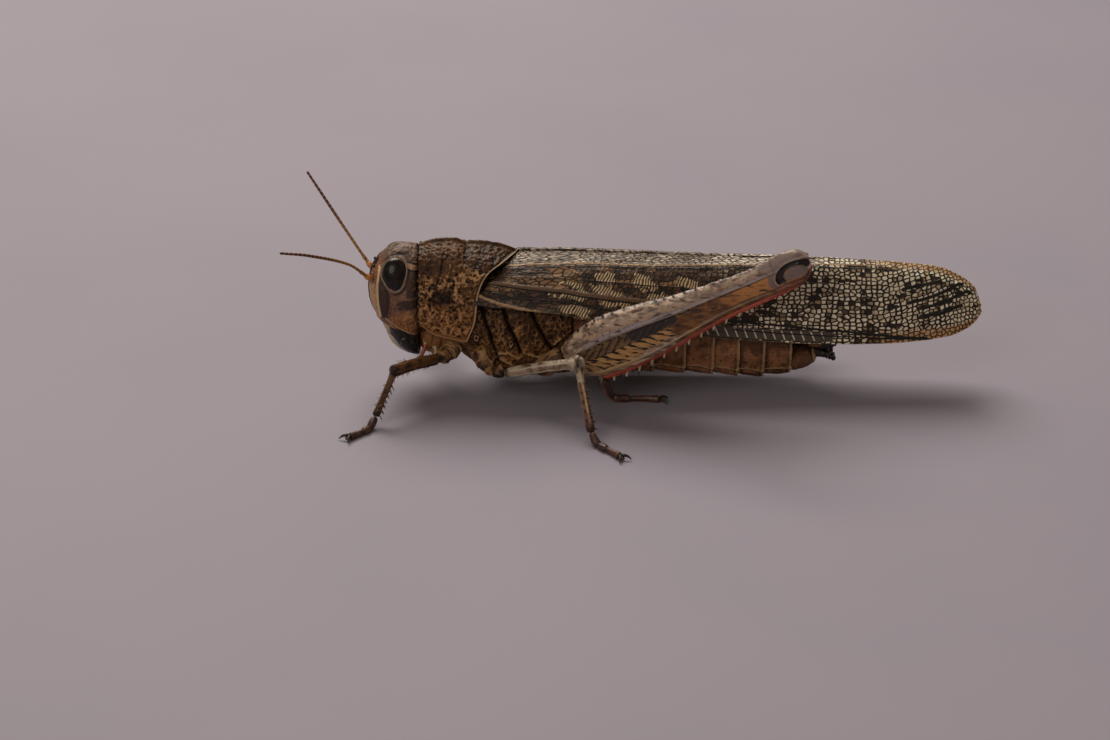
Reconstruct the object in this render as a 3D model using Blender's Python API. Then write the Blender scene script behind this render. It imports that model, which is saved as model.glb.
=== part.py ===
"""Migratory locust, brown form, adult female, life size, standing still with its wings folded.

Lengths below are millimetres in the insect's own frame: x runs back from the face, y is
across with the left side at minus y, and z is up from the floor. The parent empty at the
end moves everything so that the middle of the bounding box stands on the origin.
"""
import math

import bmesh
import bpy
from mathutils import Matrix, Vector

MM = 0.001
GAP = 0.3                 # clear space left between neighbouring plates
SHARP_EDGE = math.radians(50)           # a bend sharper than this is shaded as an edge

# Driving sizes
FACE_TO_WING_TIP = 60.6
WING_TIP_Z = 8.8
PLATE = 0.5               # thickness of pronotum and wings
FLOOR = 0.0

HEAD_BACK = 5.2
EYE_CENTRE = Vector((2.9, 2.4, 12.62))
EYE_HALF = Vector((1.34, 0.92, 1.76))
EYE_LEAN = math.radians(18)             # the eyes lean together at the top
EYE_TAPER = 0.13                        # narrower below than above
EYE_CLEARANCE = 0.15

HIND_HIP = Vector((19.3, 5.3, 5.6))
HIND_FEMUR_LENGTH = 25.9
LEFT_KNEE_RISE = math.radians(23.8)     # slope of the raised left hind thigh
RIGHT_KNEE_RISE = math.radians(6.5)     # the right one lies lower
SHIN_RADIUS = 0.4

CLAW_LENGTH = 1.15
CLAW_SPREAD = math.radians(42)
CLAW_ROOT = 0.35          # how far a claw starts inside the foot
CLAW_ARCH = 0.42          # height of a claw's bend and of its tip over the floor
CLAW_TIP = 0.15
PAD_DROP = 0.33           # height of a foot's centre line over the floor

# Colour as sRGB, roughness. The horny cuticle is not metallic.
FINISHES = {
    "head_shell": ("#6b5a4c", 0.50),
    "mouth_shell": ("#a99d7c", 0.50),
    "jaw": ("#1c1a18", 0.32),
    "eye": ("#1d1814", 0.12),
    "antenna": ("#5c3a1c", 0.50),
    "pronotum": ("#6a5138", 0.62),
    "thorax": ("#59483c", 0.55),
    "abdomen": ("#6e5443", 0.48),
    "ovipositor": ("#15120f", 0.35),
    "wing": ("#6f5c48", 0.55),
    "hind_wing": ("#b9ab8e", 0.45),
    "front_leg": ("#7d5636", 0.50),
    "middle_leg": ("#8f8273", 0.55),
    "hind_thigh": ("#94795c", 0.50),
    "hind_shin": ("#a8412f", 0.40),
    "foot": ("#4c2a1f", 0.45),
}


def linear(channel):
    """One sRGB channel, 0 to 1, as linear light."""
    if channel <= 0.04045:
        return channel / 12.92
    return ((channel + 0.055) / 1.055) ** 2.4


def make_finish(name):
    """A Principled material from the table of finishes."""
    colour, roughness = FINISHES[name]
    channels = [int(colour[i:i + 2], 16) / 255 for i in (1, 3, 5)]
    material = bpy.data.materials.new(name)
    material.use_nodes = True
    shader = material.node_tree.nodes["Principled BSDF"]
    shader.inputs["Base Color"].default_value = [linear(c) for c in channels] + [1.0]
    shader.inputs["Roughness"].default_value = roughness
    shader.inputs["Metallic"].default_value = 0.0
    material.diffuse_color = [linear(c) for c in channels] + [1.0]
    return material


def smooth(stations, t):
    """Values at t on a smooth curve through stations, each (t, value, value, ...)."""
    last = len(stations) - 2
    k = 0
    while k < last and t > stations[k + 1][0]:
        k += 1

    def slope(i, column):
        before = max(i - 1, 0)
        after = min(i + 1, len(stations) - 1)
        rise = stations[after][column] - stations[before][column]
        return rise / (stations[after][0] - stations[before][0])

    a, b = stations[k], stations[k + 1]
    span = b[0] - a[0]
    u = min(max((t - a[0]) / span, 0.0), 1.0)
    values = []
    for column in range(1, len(a)):
        start = slope(k, column) * span
        end = slope(k + 1, column) * span
        change = b[column] - a[column]
        values.append(a[column] + start * u
                      + (3 * change - 2 * start - end) * u * u
                      + (start + end - 2 * change) * u ** 3)
    return values


def bulge(value, power):
    """A cosine or sine pushed outward, so that a ring is squarer than an ellipse."""
    return math.copysign(abs(value) ** power, value)


def spread(start, end, count):
    """count values evenly spaced from start to end."""
    return [start + (end - start) * i / (count - 1) for i in range(count)]


def make_object(name, points, faces, finish, flat_foot=False):
    """A mesh object in metres; a flat foot is cut level with the floor."""
    if flat_foot:
        points = [(x, y, max(z, FLOOR)) for x, y, z in points]
    mesh = bpy.data.meshes.new(name)
    mesh.from_pydata([Vector(p) * MM for p in points], [], faces)
    solid = bmesh.new()
    solid.from_mesh(mesh)
    bmesh.ops.recalc_face_normals(solid, faces=solid.faces)
    solid.to_mesh(mesh)
    solid.free()
    mesh.shade_smooth()
    mesh.set_sharp_from_angle(angle=SHARP_EDGE)
    if finish:
        mesh.materials.append(bpy.data.materials[finish])
    item = bpy.data.objects.new(name, mesh)
    bpy.context.collection.objects.link(item)
    return item


def loft(name, rings, finish, flat_foot=False):
    """A closed solid through rings of points, with a flat face at each end."""
    size = len(rings[0])
    points = [p for ring in rings for p in ring]
    faces = [tuple(reversed(range(size)))]
    for r in range(len(rings) - 1):
        for i in range(size):
            j = (i + 1) % size
            faces.append((r * size + i, r * size + j, (r + 1) * size + j, (r + 1) * size + i))
    first = (len(rings) - 1) * size
    faces.append(tuple(range(first, first + size)))
    return make_object(name, points, faces, finish, flat_foot)


def shell(name, rows, thickness, finish):
    """A plate: rows of outer points, thickened inward. Rows run head to tail, left to right."""
    count, width = len(rows), len(rows[0])

    def normal(r, c):
        along = rows[min(r + 1, count - 1)][c] - rows[max(r - 1, 0)][c]
        across = rows[r][min(c + 1, width - 1)] - rows[r][max(c - 1, 0)]
        return along.cross(across).normalized()

    outer = [rows[r][c] for r in range(count) for c in range(width)]
    inner = [rows[r][c] + normal(r, c) * thickness for r in range(count) for c in range(width)]
    faces = []
    under = count * width
    for r in range(count - 1):
        for c in range(width - 1):
            quad = (r * width + c, (r + 1) * width + c, (r + 1) * width + c + 1, r * width + c + 1)
            faces.append(tuple(reversed(quad)))
            faces.append(tuple(under + q for q in quad))
    rim = list(range(width))
    rim += [r * width + width - 1 for r in range(1, count)]
    rim += [(count - 1) * width + c for c in range(width - 2, -1, -1)]
    rim += [r * width for r in range(count - 2, 0, -1)]
    for i, here in enumerate(rim):
        there = rim[(i + 1) % len(rim)]
        faces.append((there, here, here + under, there + under))
    return make_object(name, outer + inner, faces, finish)


def route(waypoints, shares):
    """Points at the given shares of the length of a smooth line through waypoints."""
    stations = [(0.0, *waypoints[0])]
    for a, b in zip(waypoints, waypoints[1:]):
        stations.append((stations[-1][0] + (Vector(b) - Vector(a)).length, *b))
    length = stations[-1][0]
    return [Vector(smooth(stations, share * length)) for share in shares], length


DOME = 0.5                # length of a limb's rounded end against its radius
DOME_MOST = 0.2           # and at most this share of the limb
DOME_END = 0.62           # width of the flat at the tip against the limb's


def limb(name, waypoints, radii, finish, sides=8, rings=7, flat_foot=False):
    """A tapering tube with rounded ends. radii holds (share, half width, half depth) stations."""
    length = route(waypoints, [0.0])[1]
    dome = min(DOME * smooth(radii, 0.0)[0] / length, DOME_MOST)
    shares = [0.0] + spread(dome, 1 - dome, rings) + [1.0]
    swell = [DOME_END] + [1.0] * rings + [DOME_END]
    centres = route(waypoints, shares)[0]
    across = Vector((0, 0, 1)).cross((centres[1] - centres[0]).normalized())
    if across.length < 0.1:             # a limb that hangs straight down
        across = Vector((0, 1, 0))
    loops = []
    for i, centre in enumerate(centres):
        ahead = (centres[min(i + 1, len(centres) - 1)] - centres[max(i - 1, 0)]).normalized()
        across = (across - ahead * across.dot(ahead)).normalized()
        up = ahead.cross(across)
        width, depth = smooth(radii, shares[i])
        loops.append([centre
                      + across * width * swell[i] * math.cos(2 * math.pi * k / sides)
                      + up * depth * swell[i] * math.sin(2 * math.pi * k / sides)
                      for k in range(sides)])
    return loft(name, loops, finish, flat_foot)


def mirrored(point, side):
    """A point given for the right side, moved to the asked side: left is -1, right is 1."""
    return Vector((point[0], point[1] * side, point[2]))


EGG_POLE = math.radians(14)             # an egg's ends are flat within this angle of its poles


def ovoid(name, centre, half, lean, taper, finish, rings=8, sides=12):
    """An egg standing on its narrow end, leant over the line of the body."""
    tilt = Matrix.Rotation(lean, 3, "X")
    loops = []
    for turn in spread(EGG_POLE, math.pi - EGG_POLE, rings):
        level = -math.cos(turn)
        girth = math.sin(turn) * (1 + taper * level)
        loop = []
        for k in range(sides):
            around = 2 * math.pi * k / sides
            x = half.x * girth * math.cos(around)
            y = half.y * girth * math.sin(around)
            loop.append(centre + tilt @ Vector((x, y, half.z * level)))
        loops.append(loop)
    return loft(name, loops, finish)


def as_cutter(item):
    """Keep a helper out of the part: shown as wire and left out of renders."""
    item.hide_render = True
    item.display_type = "WIRE"
    return item


def combine(item, helper, operation):
    """Cut or join a helper shape with a modifier."""
    modifier = item.modifiers.new(helper.name, "BOOLEAN")
    modifier.operation = operation
    modifier.solver = "EXACT"
    modifier.object = helper


# ---- Head -------------------------------------------------------------------------------

# Level, then x and z of the face, x and z at the back, half width, squareness
HEAD_LEVELS = [
    (0.00, 0.85, 8.00, 4.95, 6.30, 3.00, 2.6),
    (0.14, 0.45, 9.00, 5.20, 7.60, 3.30, 2.6),
    (0.30, 0.22, 10.1, 5.20, 9.30, 3.42, 2.6),
    (0.46, 0.20, 11.1, 5.20, 10.9, 3.35, 2.5),
    (0.62, 0.42, 12.3, 5.20, 12.4, 3.15, 2.3),
    (0.76, 0.90, 13.2, 5.20, 13.2, 2.75, 2.1),
    (0.88, 1.55, 14.05, 5.20, 13.85, 2.15, 2.0),
    (0.96, 2.35, 14.68, 5.15, 14.45, 1.35, 2.0),
    (1.00, 2.95, 14.98, 4.90, 14.85, 0.60, 2.0),
]


def tilted_ring(front, back, half_width, squareness, count, y=0.0, back_squareness=2.4):
    """A level ring that leans so that it meets the face at front and the nape at back."""
    ring = []
    for k in range(count):
        turn = 2 * math.pi * k / count
        power = 2 / (squareness if math.cos(turn) > 0 else back_squareness)
        forward = bulge(math.cos(turn), power)
        share = (1 - forward) / 2
        x = front[0] + (back[0] - front[0]) * share
        z = front[1] + (back[1] - front[1]) * share
        ring.append(Vector((x, y - half_width * bulge(math.sin(turn), power), z)))
    return ring


HEAD_BACK_SQUARENESS = 5.0              # the head is as wide at the nape as at the cheeks


def build_head():
    rings = []
    for level in spread(0, 1, 13):
        fx, fz, bx, bz, half_width, squareness = smooth(HEAD_LEVELS, level)
        rings.append(tilted_ring((fx, fz), (bx, bz), half_width, squareness, 24,
                                 back_squareness=HEAD_BACK_SQUARENESS))
    head = loft("head", rings, "head_shell")
    for side, word in ((-1, "left"), (1, "right")):
        centre = mirrored(EYE_CENTRE, side)
        lean = EYE_LEAN * side
        ovoid("eye_" + word, centre, EYE_HALF, lean, EYE_TAPER, "eye")
        room = EYE_HALF + Vector((1, 1, 1)) * EYE_CLEARANCE
        socket = ovoid("socket_" + word, centre, room, lean, EYE_TAPER, None)
        combine(head, as_cutter(socket), "DIFFERENCE")


def build_antennae():
    """The left one reaches forward and out, the right one stands up more."""
    left = [(0.2, -1.45, 12.0), (-1.6, -2.7, 13.9), (-5.2, -5.5, 16.0), (-7.9, -7.0, 16.9)]
    right = [(0.2, 1.45, 12.1), (-2.2, 3.0, 15.2), (-6.1, 5.9, 20.3)]
    radii = [(0.0, 0.36, 0.36), (0.12, 0.29, 0.29), (0.8, 0.27, 0.27), (1.0, 0.25, 0.25)]
    for word, path in (("left", left), ("right", right)):
        limb("antenna_" + word, path, radii, "antenna", sides=6, rings=10)


LIP_WRAP = 0.85           # how far the lip's sides stand behind its middle


def build_labrum():
    """The upper lip with the clypeus above it, a plate that closes the mouth in front."""
    profile = [(0.0, 1.05, 7.38, 1.95), (0.35, 1.65, 6.30, 1.90),
               (0.7, 2.70, 4.95, 1.60), (1.0, 3.90, 4.15, 1.00)]
    rows = []
    for share in spread(0, 1, 6):
        x, z, half_width = smooth(profile, share)
        rows.append([Vector((x + LIP_WRAP * s * s, half_width * s, z)) for s in spread(1, -1, 7)])
    shell("labrum", rows, PLATE, "mouth_shell")


def build_mandible(side, word):
    """The dark jaw under the cheek, narrowing to the mouth."""
    # Level, x and z in front, x and z behind, half width, distance from the middle
    levels = [(0.0, 2.75, 6.95, 4.75, 5.95, 1.10, 1.85),
              (0.35, 2.95, 6.10, 4.95, 5.20, 1.15, 1.75),
              (0.75, 3.85, 5.00, 4.98, 4.40, 0.90, 1.35),
              (1.0, 4.40, 4.50, 4.95, 4.15, 0.50, 1.05)]
    rings = []
    for level in spread(0, 1, 6):
        fx, fz, bx, bz, half_width, offset = smooth(levels, level)
        rings.append(tilted_ring((fx, fz), (bx, bz), half_width, 2.4, 12, y=offset * side))
    loft("mandible_" + word, rings, "jaw")


def build_mouth_underside():
    """The lower lip, with a pair of palps hanging at its sides."""
    limb("labium", [(5.35, 0, 6.3), (5.35, 0, 4.1)], [(0, 1.9, 0.22), (1, 1.2, 0.22)],
         "mouth_shell", sides=10, rings=4)
    for side, word in ((-1, "left"), (1, "right")):
        path = [mirrored(p, side) for p in ((6.0, 2.0, 5.6), (6.3, 2.5, 4.9), (5.6, 2.9, 4.2),
                                            (5.0, 2.8, 3.9))]
        limb("palp_" + word, path, [(0, 0.27, 0.27), (1, 0.3, 0.3)], "mouth_shell",
             sides=6, rings=6)


# ---- Trunk ------------------------------------------------------------------------------

# x, height of the belly, height of the back, half width
TRUNK = [
    (5.5, 5.7, 13.2, 2.70),
    (7.5, 4.9, 13.8, 3.05),
    (9.4, 3.5, 13.4, 3.20),
    (11.3, 2.1, 12.8, 3.85),
    (13.5, 1.4, 12.7, 4.25),
    (16.0, 1.25, 12.6, 4.25),
    (18.2, 1.3, 12.2, 4.15),
    (20.0, 1.5, 11.0, 3.80),
    (23.0, 1.7, 9.9, 3.60),
    (27.0, 1.55, 9.5, 3.50),
    (33.0, 1.3, 9.1, 3.40),
    (38.5, 0.95, 8.4, 3.15),
    (41.8, 1.3, 7.7, 2.60),
    (43.2, 2.0, 7.0, 2.10),
]
THORAX_CUTS = [("prothorax", 5.65, 9.5), ("mesothorax", 9.5, 14.3), ("metathorax", 14.3, 19.8)]
ABDOMEN_CUTS = [19.8, 22.1, 25.0, 28.1, 31.2, 34.0, 36.5, 39.0, 41.7]
ABDOMEN_INSETS = (0.14, 0.03, 0.0)      # each ring of the abdomen widens towards its hind edge
BACK_POWER = 0.82                       # under 1, so the trunk is squarer over the back


def trunk_ring(x, count=16, inset=0.0):
    """The trunk's outline at x: round below, squarer over the back."""
    belly, back, half_width = smooth(TRUNK, x)
    middle = (belly + back) / 2
    half_height = (back - belly) / 2 - inset
    ring = []
    for k in range(count):
        turn = 2 * math.pi * k / count
        power = BACK_POWER if math.sin(turn) > 0 else 1.0
        ring.append(Vector((x, (inset - half_width) * bulge(math.cos(turn), power),
                            middle + half_height * bulge(math.sin(turn), power))))
    return ring


def build_thorax():
    for name, start, end in THORAX_CUTS:
        rings = [trunk_ring(x) for x in spread(start + GAP / 2, end - GAP / 2, 4)]
        loft(name, rings, "thorax")


def build_abdomen():
    """Eight rings; each one's hind edge stands slightly over the ring behind it."""
    for number, (start, end) in enumerate(zip(ABDOMEN_CUTS, ABDOMEN_CUTS[1:]), start=1):
        places = spread(start + GAP / 2, end - GAP / 2, len(ABDOMEN_INSETS))
        rings = [trunk_ring(x, inset=inset) for x, inset in zip(places, ABDOMEN_INSETS)]
        loft("abdomen_%d" % number, rings, "abdomen")


def build_tail():
    """The end plates above and below, and the four dark prongs used for laying eggs."""
    limb("epiproct", [(41.95, 0, 6.1), (45.1, 0, 5.5)],
         [(0, 2.5, 1.5), (0.6, 1.6, 1.0), (1, 0.8, 0.5)], "abdomen", sides=12, rings=4)
    limb("subgenital_plate", [(41.95, 0, 2.9), (44.6, 0, 3.3)],
         [(0, 2.5, 1.45), (0.6, 1.7, 1.15), (1, 1.0, 0.6)], "abdomen", sides=12, rings=4)
    for side, word in ((-1, "left"), (1, "right")):
        upper = [(44.6, 0.5, 4.45), (45.7, 0.55, 4.25), (46.6, 0.5, 4.5)]
        lower = [(45.1, 0.5, 3.4), (45.7, 0.55, 3.25), (46.5, 0.45, 2.7)]
        for name, path in (("ovipositor_upper_", upper), ("ovipositor_lower_", lower)):
            limb(name + word, [mirrored(p, side) for p in path],
                 [(0, 0.38, 0.42), (0.6, 0.34, 0.36), (1, 0.14, 0.14)],
                 "ovipositor", sides=6, rings=4)


# x, crest height, shoulder's distance from the middle and height, side's distance, height of
# the side's widest place, lower margin's distance and height
PRONOTUM = [
    (5.2, 14.75, 2.20, 13.85, 3.35, 10.5, 3.60, 7.9),
    (6.6, 15.30, 2.45, 14.15, 3.70, 10.5, 3.85, 6.9),
    (8.6, 15.45, 2.60, 14.15, 4.00, 10.5, 4.05, 6.4),
    (9.6, 15.15, 2.70, 13.95, 4.10, 10.6, 4.10, 6.2),
    (11.0, 15.15, 3.00, 13.8, 4.30, 10.8, 4.25, 6.6),
    (13.0, 14.90, 3.10, 13.5, 4.40, 10.9, 4.30, 8.0),
    (14.9, 14.25, 3.20, 13.0, 4.50, 10.9, 4.40, 9.0),
]
# Position round the saddle from crest 0 to lower margin 1, x of the hind edge there
PRONOTUM_REAR = [(0.0, 14.9), (0.25, 13.3), (0.42, 11.9), (0.6, 11.1), (0.85, 10.7), (1.0, 9.9)]


def pronotum_point(x, s):
    """A point of the saddle at x, with s from -1 at the left margin to 1 at the right one."""
    crest, shoulder_y, shoulder_z, side_y, side_z, low_y, low_z = smooth(PRONOTUM, x)
    profile = [(0.0, 0.0, crest), (0.33, shoulder_y, shoulder_z), (0.66, side_y, side_z),
               (1.0, low_y, low_z)]
    y, z = smooth(profile, abs(s))
    return Vector((x, math.copysign(y, s), z))


def build_pronotum():
    """The saddle plate behind the head, pointed behind, with a lobe down each side."""
    rows = []
    for share in spread(0, 1, 9):
        row = []
        for s in spread(1, -1, 19):
            rear = smooth(PRONOTUM_REAR, abs(s))[0]
            row.append(pronotum_point(HEAD_BACK + GAP + (rear - HEAD_BACK - GAP) * share, s))
        rows.append(row)
    shell("pronotum", rows, PLATE, "pronotum")


# ---- Wings ------------------------------------------------------------------------------

# Share of the length, x and z of the top edge, shoulder's x and distance, how far the
# shoulder lies under the top edge, x, distance and height of the lower edge
TEGMEN = [
    (0.00, 15.4, 14.40, 13.2, 2.85, 1.40, 11.3, 4.62, 10.60),
    (0.07, 18.5, 14.45, 17.4, 2.80, 1.20, 16.0, 4.80, 10.10),
    (0.18, 23.6, 14.30, 23.0, 2.65, 1.05, 21.8, 4.80, 8.85),
    (0.38, 32.8, 13.90, 32.7, 2.30, 0.90, 32.6, 4.40, 7.00),
    (0.60, 43.6, 13.50, 43.3, 1.95, 0.75, 42.8, 3.45, 5.80),
    (0.76, 50.5, 13.00, 50.7, 1.60, 0.65, 51.2, 2.60, 5.40),
    (0.88, 56.0, 12.40, 56.3, 1.35, 0.80, 57.0, 2.05, 5.85),
    (0.94, 58.4, 11.40, 58.6, 1.22, 0.90, 59.0, 1.75, 6.55),
    (0.98, 59.95, 10.15, 60.2, 1.10, 0.70, 60.15, 1.50, 7.50),
    (1.00, FACE_TO_WING_TIP - 0.25, WING_TIP_Z + 0.5, FACE_TO_WING_TIP, 1.0, 0.50,
     FACE_TO_WING_TIP - 0.2, 1.35, WING_TIP_Z - 0.5),
]
WING_ROOT_GAP = 0.6       # clear space between the pronotum's edge and the wing's base
ROOF_SLOPE = 0.36         # fall of the folded wings' roof on each side of the middle
WING_ROOT = 0.12          # share of the wing over which its base follows the pronotum's edge
# Share of the length, y of the left wing's inner edge, y of the right wing's: the left one
# laps over the middle near the base, and the tips lie side by side
INNER_EDGES = [(0.0, 1.3, 1.85), (0.3, 1.1, 1.6), (0.5, 0.55, 1.0), (0.66, 0.0, 0.5),
               (0.78, -0.3, 0.48), (0.88, -0.52, 0.52), (1.0, -0.64, 0.64)]
CORNER = 2.6              # how closely the wing's surface keeps to its shoulder line


def wing_row(share, inner_edge, count):
    """Points from the top edge over the shoulder to the lower edge, for a right-hand wing."""
    tx, tz, sx, sy, fall, lx, ly, lz = smooth(TEGMEN, share)
    top = Vector((tx, inner_edge, tz - ROOF_SLOPE * abs(inner_edge)))
    corner = Vector((sx, sy, tz - fall))
    low = Vector((lx, ly, lz))
    edge = [(pronotum_point(x, s).y, x + WING_ROOT_GAP) for s, x in PRONOTUM_REAR[:5]]
    row = []
    for u in spread(0, 1, count):
        weights = ((1 - u) ** 2, 2 * CORNER * u * (1 - u), u * u)
        point = (top * weights[0] + corner * weights[1] + low * weights[2]) / sum(weights)
        if share < WING_ROOT:
            root_x = smooth(edge, abs(point.y))[0]
            point.x = root_x + (point.x - root_x) * share / WING_ROOT
        row.append(point)
    return row


def build_tegmen(side, word):
    """A leathery front wing, folded: flat over the back and steep down the side."""
    rows = []
    for share in spread(0, 0.88, 12) + [0.92, 0.95, 0.975, 1.0]:
        left_edge, right_edge = smooth(INNER_EDGES, share)
        inner_edge = -left_edge if side < 0 else right_edge
        row = [mirrored(p, side) for p in wing_row(share, inner_edge, 9)]
        rows.append(row if side < 0 else row[::-1])
    shell("tegmen_" + word, rows, PLATE, "wing")


HIND_WING_REACH = (0.16, 0.66)          # the shares of the front wing that it lies under
HIND_WING_TOP_Y = 0.75
HIND_WING_DROP = 1.7      # below the front wing's top edge
HIND_WING_TUCK = 1.9      # inward from the front wing's lower edge
HIND_WING_LIFT = 2.3      # above the front wing's lower edge


def build_hind_wing(side, word):
    """The folded hind wing, a packet on edge between the front wing and the abdomen."""
    rows = []
    for share in spread(*HIND_WING_REACH, 7):
        tx, tz, _, _, _, lx, ly, lz = smooth(TEGMEN, share)
        top = Vector((tx, HIND_WING_TOP_Y, tz - HIND_WING_DROP))
        low = Vector((lx, max(ly - HIND_WING_TUCK, HIND_WING_TOP_Y), lz + HIND_WING_LIFT))
        row = [mirrored(top.lerp(low, u), side) for u in spread(0, 1, 3)]
        rows.append(row if side < 0 else row[::-1])
    shell("hind_wing_" + word, rows, PLATE, "hind_wing")


def build_wings():
    for side, word in ((-1, "left"), (1, "right")):
        build_tegmen(side, word)
        build_hind_wing(side, word)


# ---- Legs -------------------------------------------------------------------------------


def build_foot(name, path):
    """Three pads in a row, flat underneath, with two claws spread at the end."""
    radii = [(0.0, 0.30, 0.32), (0.22, 0.44, 0.48), (0.36, 0.33, 0.42), (0.5, 0.42, 0.50),
             (0.64, 0.29, 0.40), (0.85, 0.31, 0.42), (1.0, 0.40, 0.48)]
    foot = limb(name, path, radii, "foot", sides=8, rings=8, flat_foot=True)
    end = Vector(path[-1])
    ahead = (end - Vector(path[-2])).normalized()
    heading = math.atan2(ahead.y, ahead.x)
    for number, turn in enumerate((-CLAW_SPREAD, CLAW_SPREAD)):
        out = Vector((math.cos(heading + turn), math.sin(heading + turn), 0))
        bend = end + out * CLAW_LENGTH * 0.55
        tip = end + out * CLAW_LENGTH
        claw_path = [end - ahead * CLAW_ROOT, (bend.x, bend.y, CLAW_ARCH), (tip.x, tip.y, CLAW_TIP)]
        claw = limb("%s_claw_%d" % (name, number), claw_path,
                    [(0, 0.2, 0.2), (0.6, 0.17, 0.2), (1, 0.1, 0.12)], None, sides=5, rings=3)
        combine(foot, as_cutter(claw), "UNION")


def build_leg(pair, side, word, joints, sizes, finish, foot_path):
    """A walking leg: hip, thigh, shin and foot, each in its own length."""
    coxa_top, coxa_end, thigh_start, knee, shin_end = [mirrored(p, side) for p in joints]
    coxa, thigh_thin, thigh_thick, shin = sizes
    limb("%s_coxa_%s" % (pair, word), [coxa_top, coxa_end],
         [(0, coxa, coxa), (1, coxa * 0.8, coxa * 0.8)], finish, sides=8, rings=3)
    along_thigh = (knee - thigh_start).normalized()
    limb("%s_femur_%s" % (pair, word), [thigh_start, knee + along_thigh * thigh_thick],
         [(0, thigh_thin, thigh_thin), (0.6, thigh_thick * 0.9, thigh_thick),
          (1, thigh_thick * 0.9, thigh_thick)], finish, sides=8, rings=5)
    along_shin = (shin_end - knee).normalized()
    limb("%s_tibia_%s" % (pair, word), [knee + along_shin * (thigh_thick + GAP * 0.6), shin_end],
         [(0, shin * 1.1, shin * 1.1), (1, shin, shin)], finish, sides=8, rings=5)
    foot = [shin_end + along_shin * GAP * 0.8] + [mirrored(p, side) for p in foot_path]
    build_foot("%s_tarsus_%s" % (pair, word), foot)


def build_walking_legs():
    front_sizes = (0.70, 0.50, 0.55, 0.36)
    middle_sizes = (0.72, 0.46, 0.78, 0.42)
    front_hip = [(8.4, 2.9, 5.05), (7.7, 3.9, 4.75), (7.05, 4.75, 4.75)]
    front_left = front_hip + [(2.95, 8.9, 5.35), (1.15, 10.2, 1.25)]
    front_left_foot = [(0.6, 11.1, 0.40), (-0.1, 12.1, PAD_DROP), (-1.25, 13.15, PAD_DROP)]
    front_right = front_hip + [(5.2, 9.9, 5.6), (3.95, 10.3, 1.3)]
    front_right_foot = [(3.6, 11.0, 0.40), (3.1, 12.0, PAD_DROP), (2.4, 13.2, PAD_DROP)]
    build_leg("front", -1, "left", front_left, front_sizes, "front_leg", front_left_foot)
    build_leg("front", 1, "right", front_right, front_sizes, "front_leg", front_right_foot)
    middle = [(11.7, 4.35, 4.2), (12.7, 4.35, 3.35), (13.6, 4.85, 3.2), (20.7, 8.7, 6.0),
              (21.95, 13.8, 1.3)]
    middle_foot = [(22.5, 14.7, 0.42), (23.4, 15.8, PAD_DROP), (24.7, 17.4, PAD_DROP)]
    for side, word in ((-1, "left"), (1, "right")):
        build_leg("middle", side, word, middle, middle_sizes, "middle_leg", middle_foot)


# Distance from the hip, sideways offset of the centre line, rise over it, drop under it,
# half thickness
HIND_THIGH = [
    (0.0, 0.0, 0.55, 1.05, 0.65),
    (1.0, 0.15, 1.20, 2.70, 1.10),
    (2.6, 0.40, 1.85, 3.45, 1.40),
    (4.6, 0.85, 2.35, 3.40, 1.45),
    (8.4, 1.35, 2.35, 3.05, 1.40),
    (12.0, 1.50, 1.90, 2.45, 1.25),
    (15.8, 1.50, 1.58, 1.90, 1.00),
    (19.5, 1.65, 1.45, 1.65, 0.85),
    (21.6, 1.72, 1.62, 1.68, 0.88),
    (23.4, 1.78, 1.92, 1.70, 1.00),
    (25.0, 1.85, 1.80, 1.45, 0.95),
    (HIND_FEMUR_LENGTH, 1.90, 0.80, 0.60, 0.50),
]


def thigh_frame(distance, rise_angle):
    """Centre of the hind thigh at a distance from the hip, and its upward direction."""
    along = Vector((math.cos(rise_angle), 0, math.sin(rise_angle)))
    up = Vector((-math.sin(rise_angle), 0, math.cos(rise_angle)))
    offset = smooth(HIND_THIGH, distance)[0]
    return HIND_HIP + along * distance + Vector((0, offset, 0)), up


SHIN_TUCK = 0.35          # how far the shin's foot end leans in under the thigh
HEEL_STEP = 0.6           # from the shin's end in and down to the foot
HIND_FOOT = [(24.2, 4.7, 0.62), (25.7, 4.6, PAD_DROP), (27.2, 4.6, PAD_DROP),
             (28.8, 4.75, PAD_DROP)]


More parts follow.
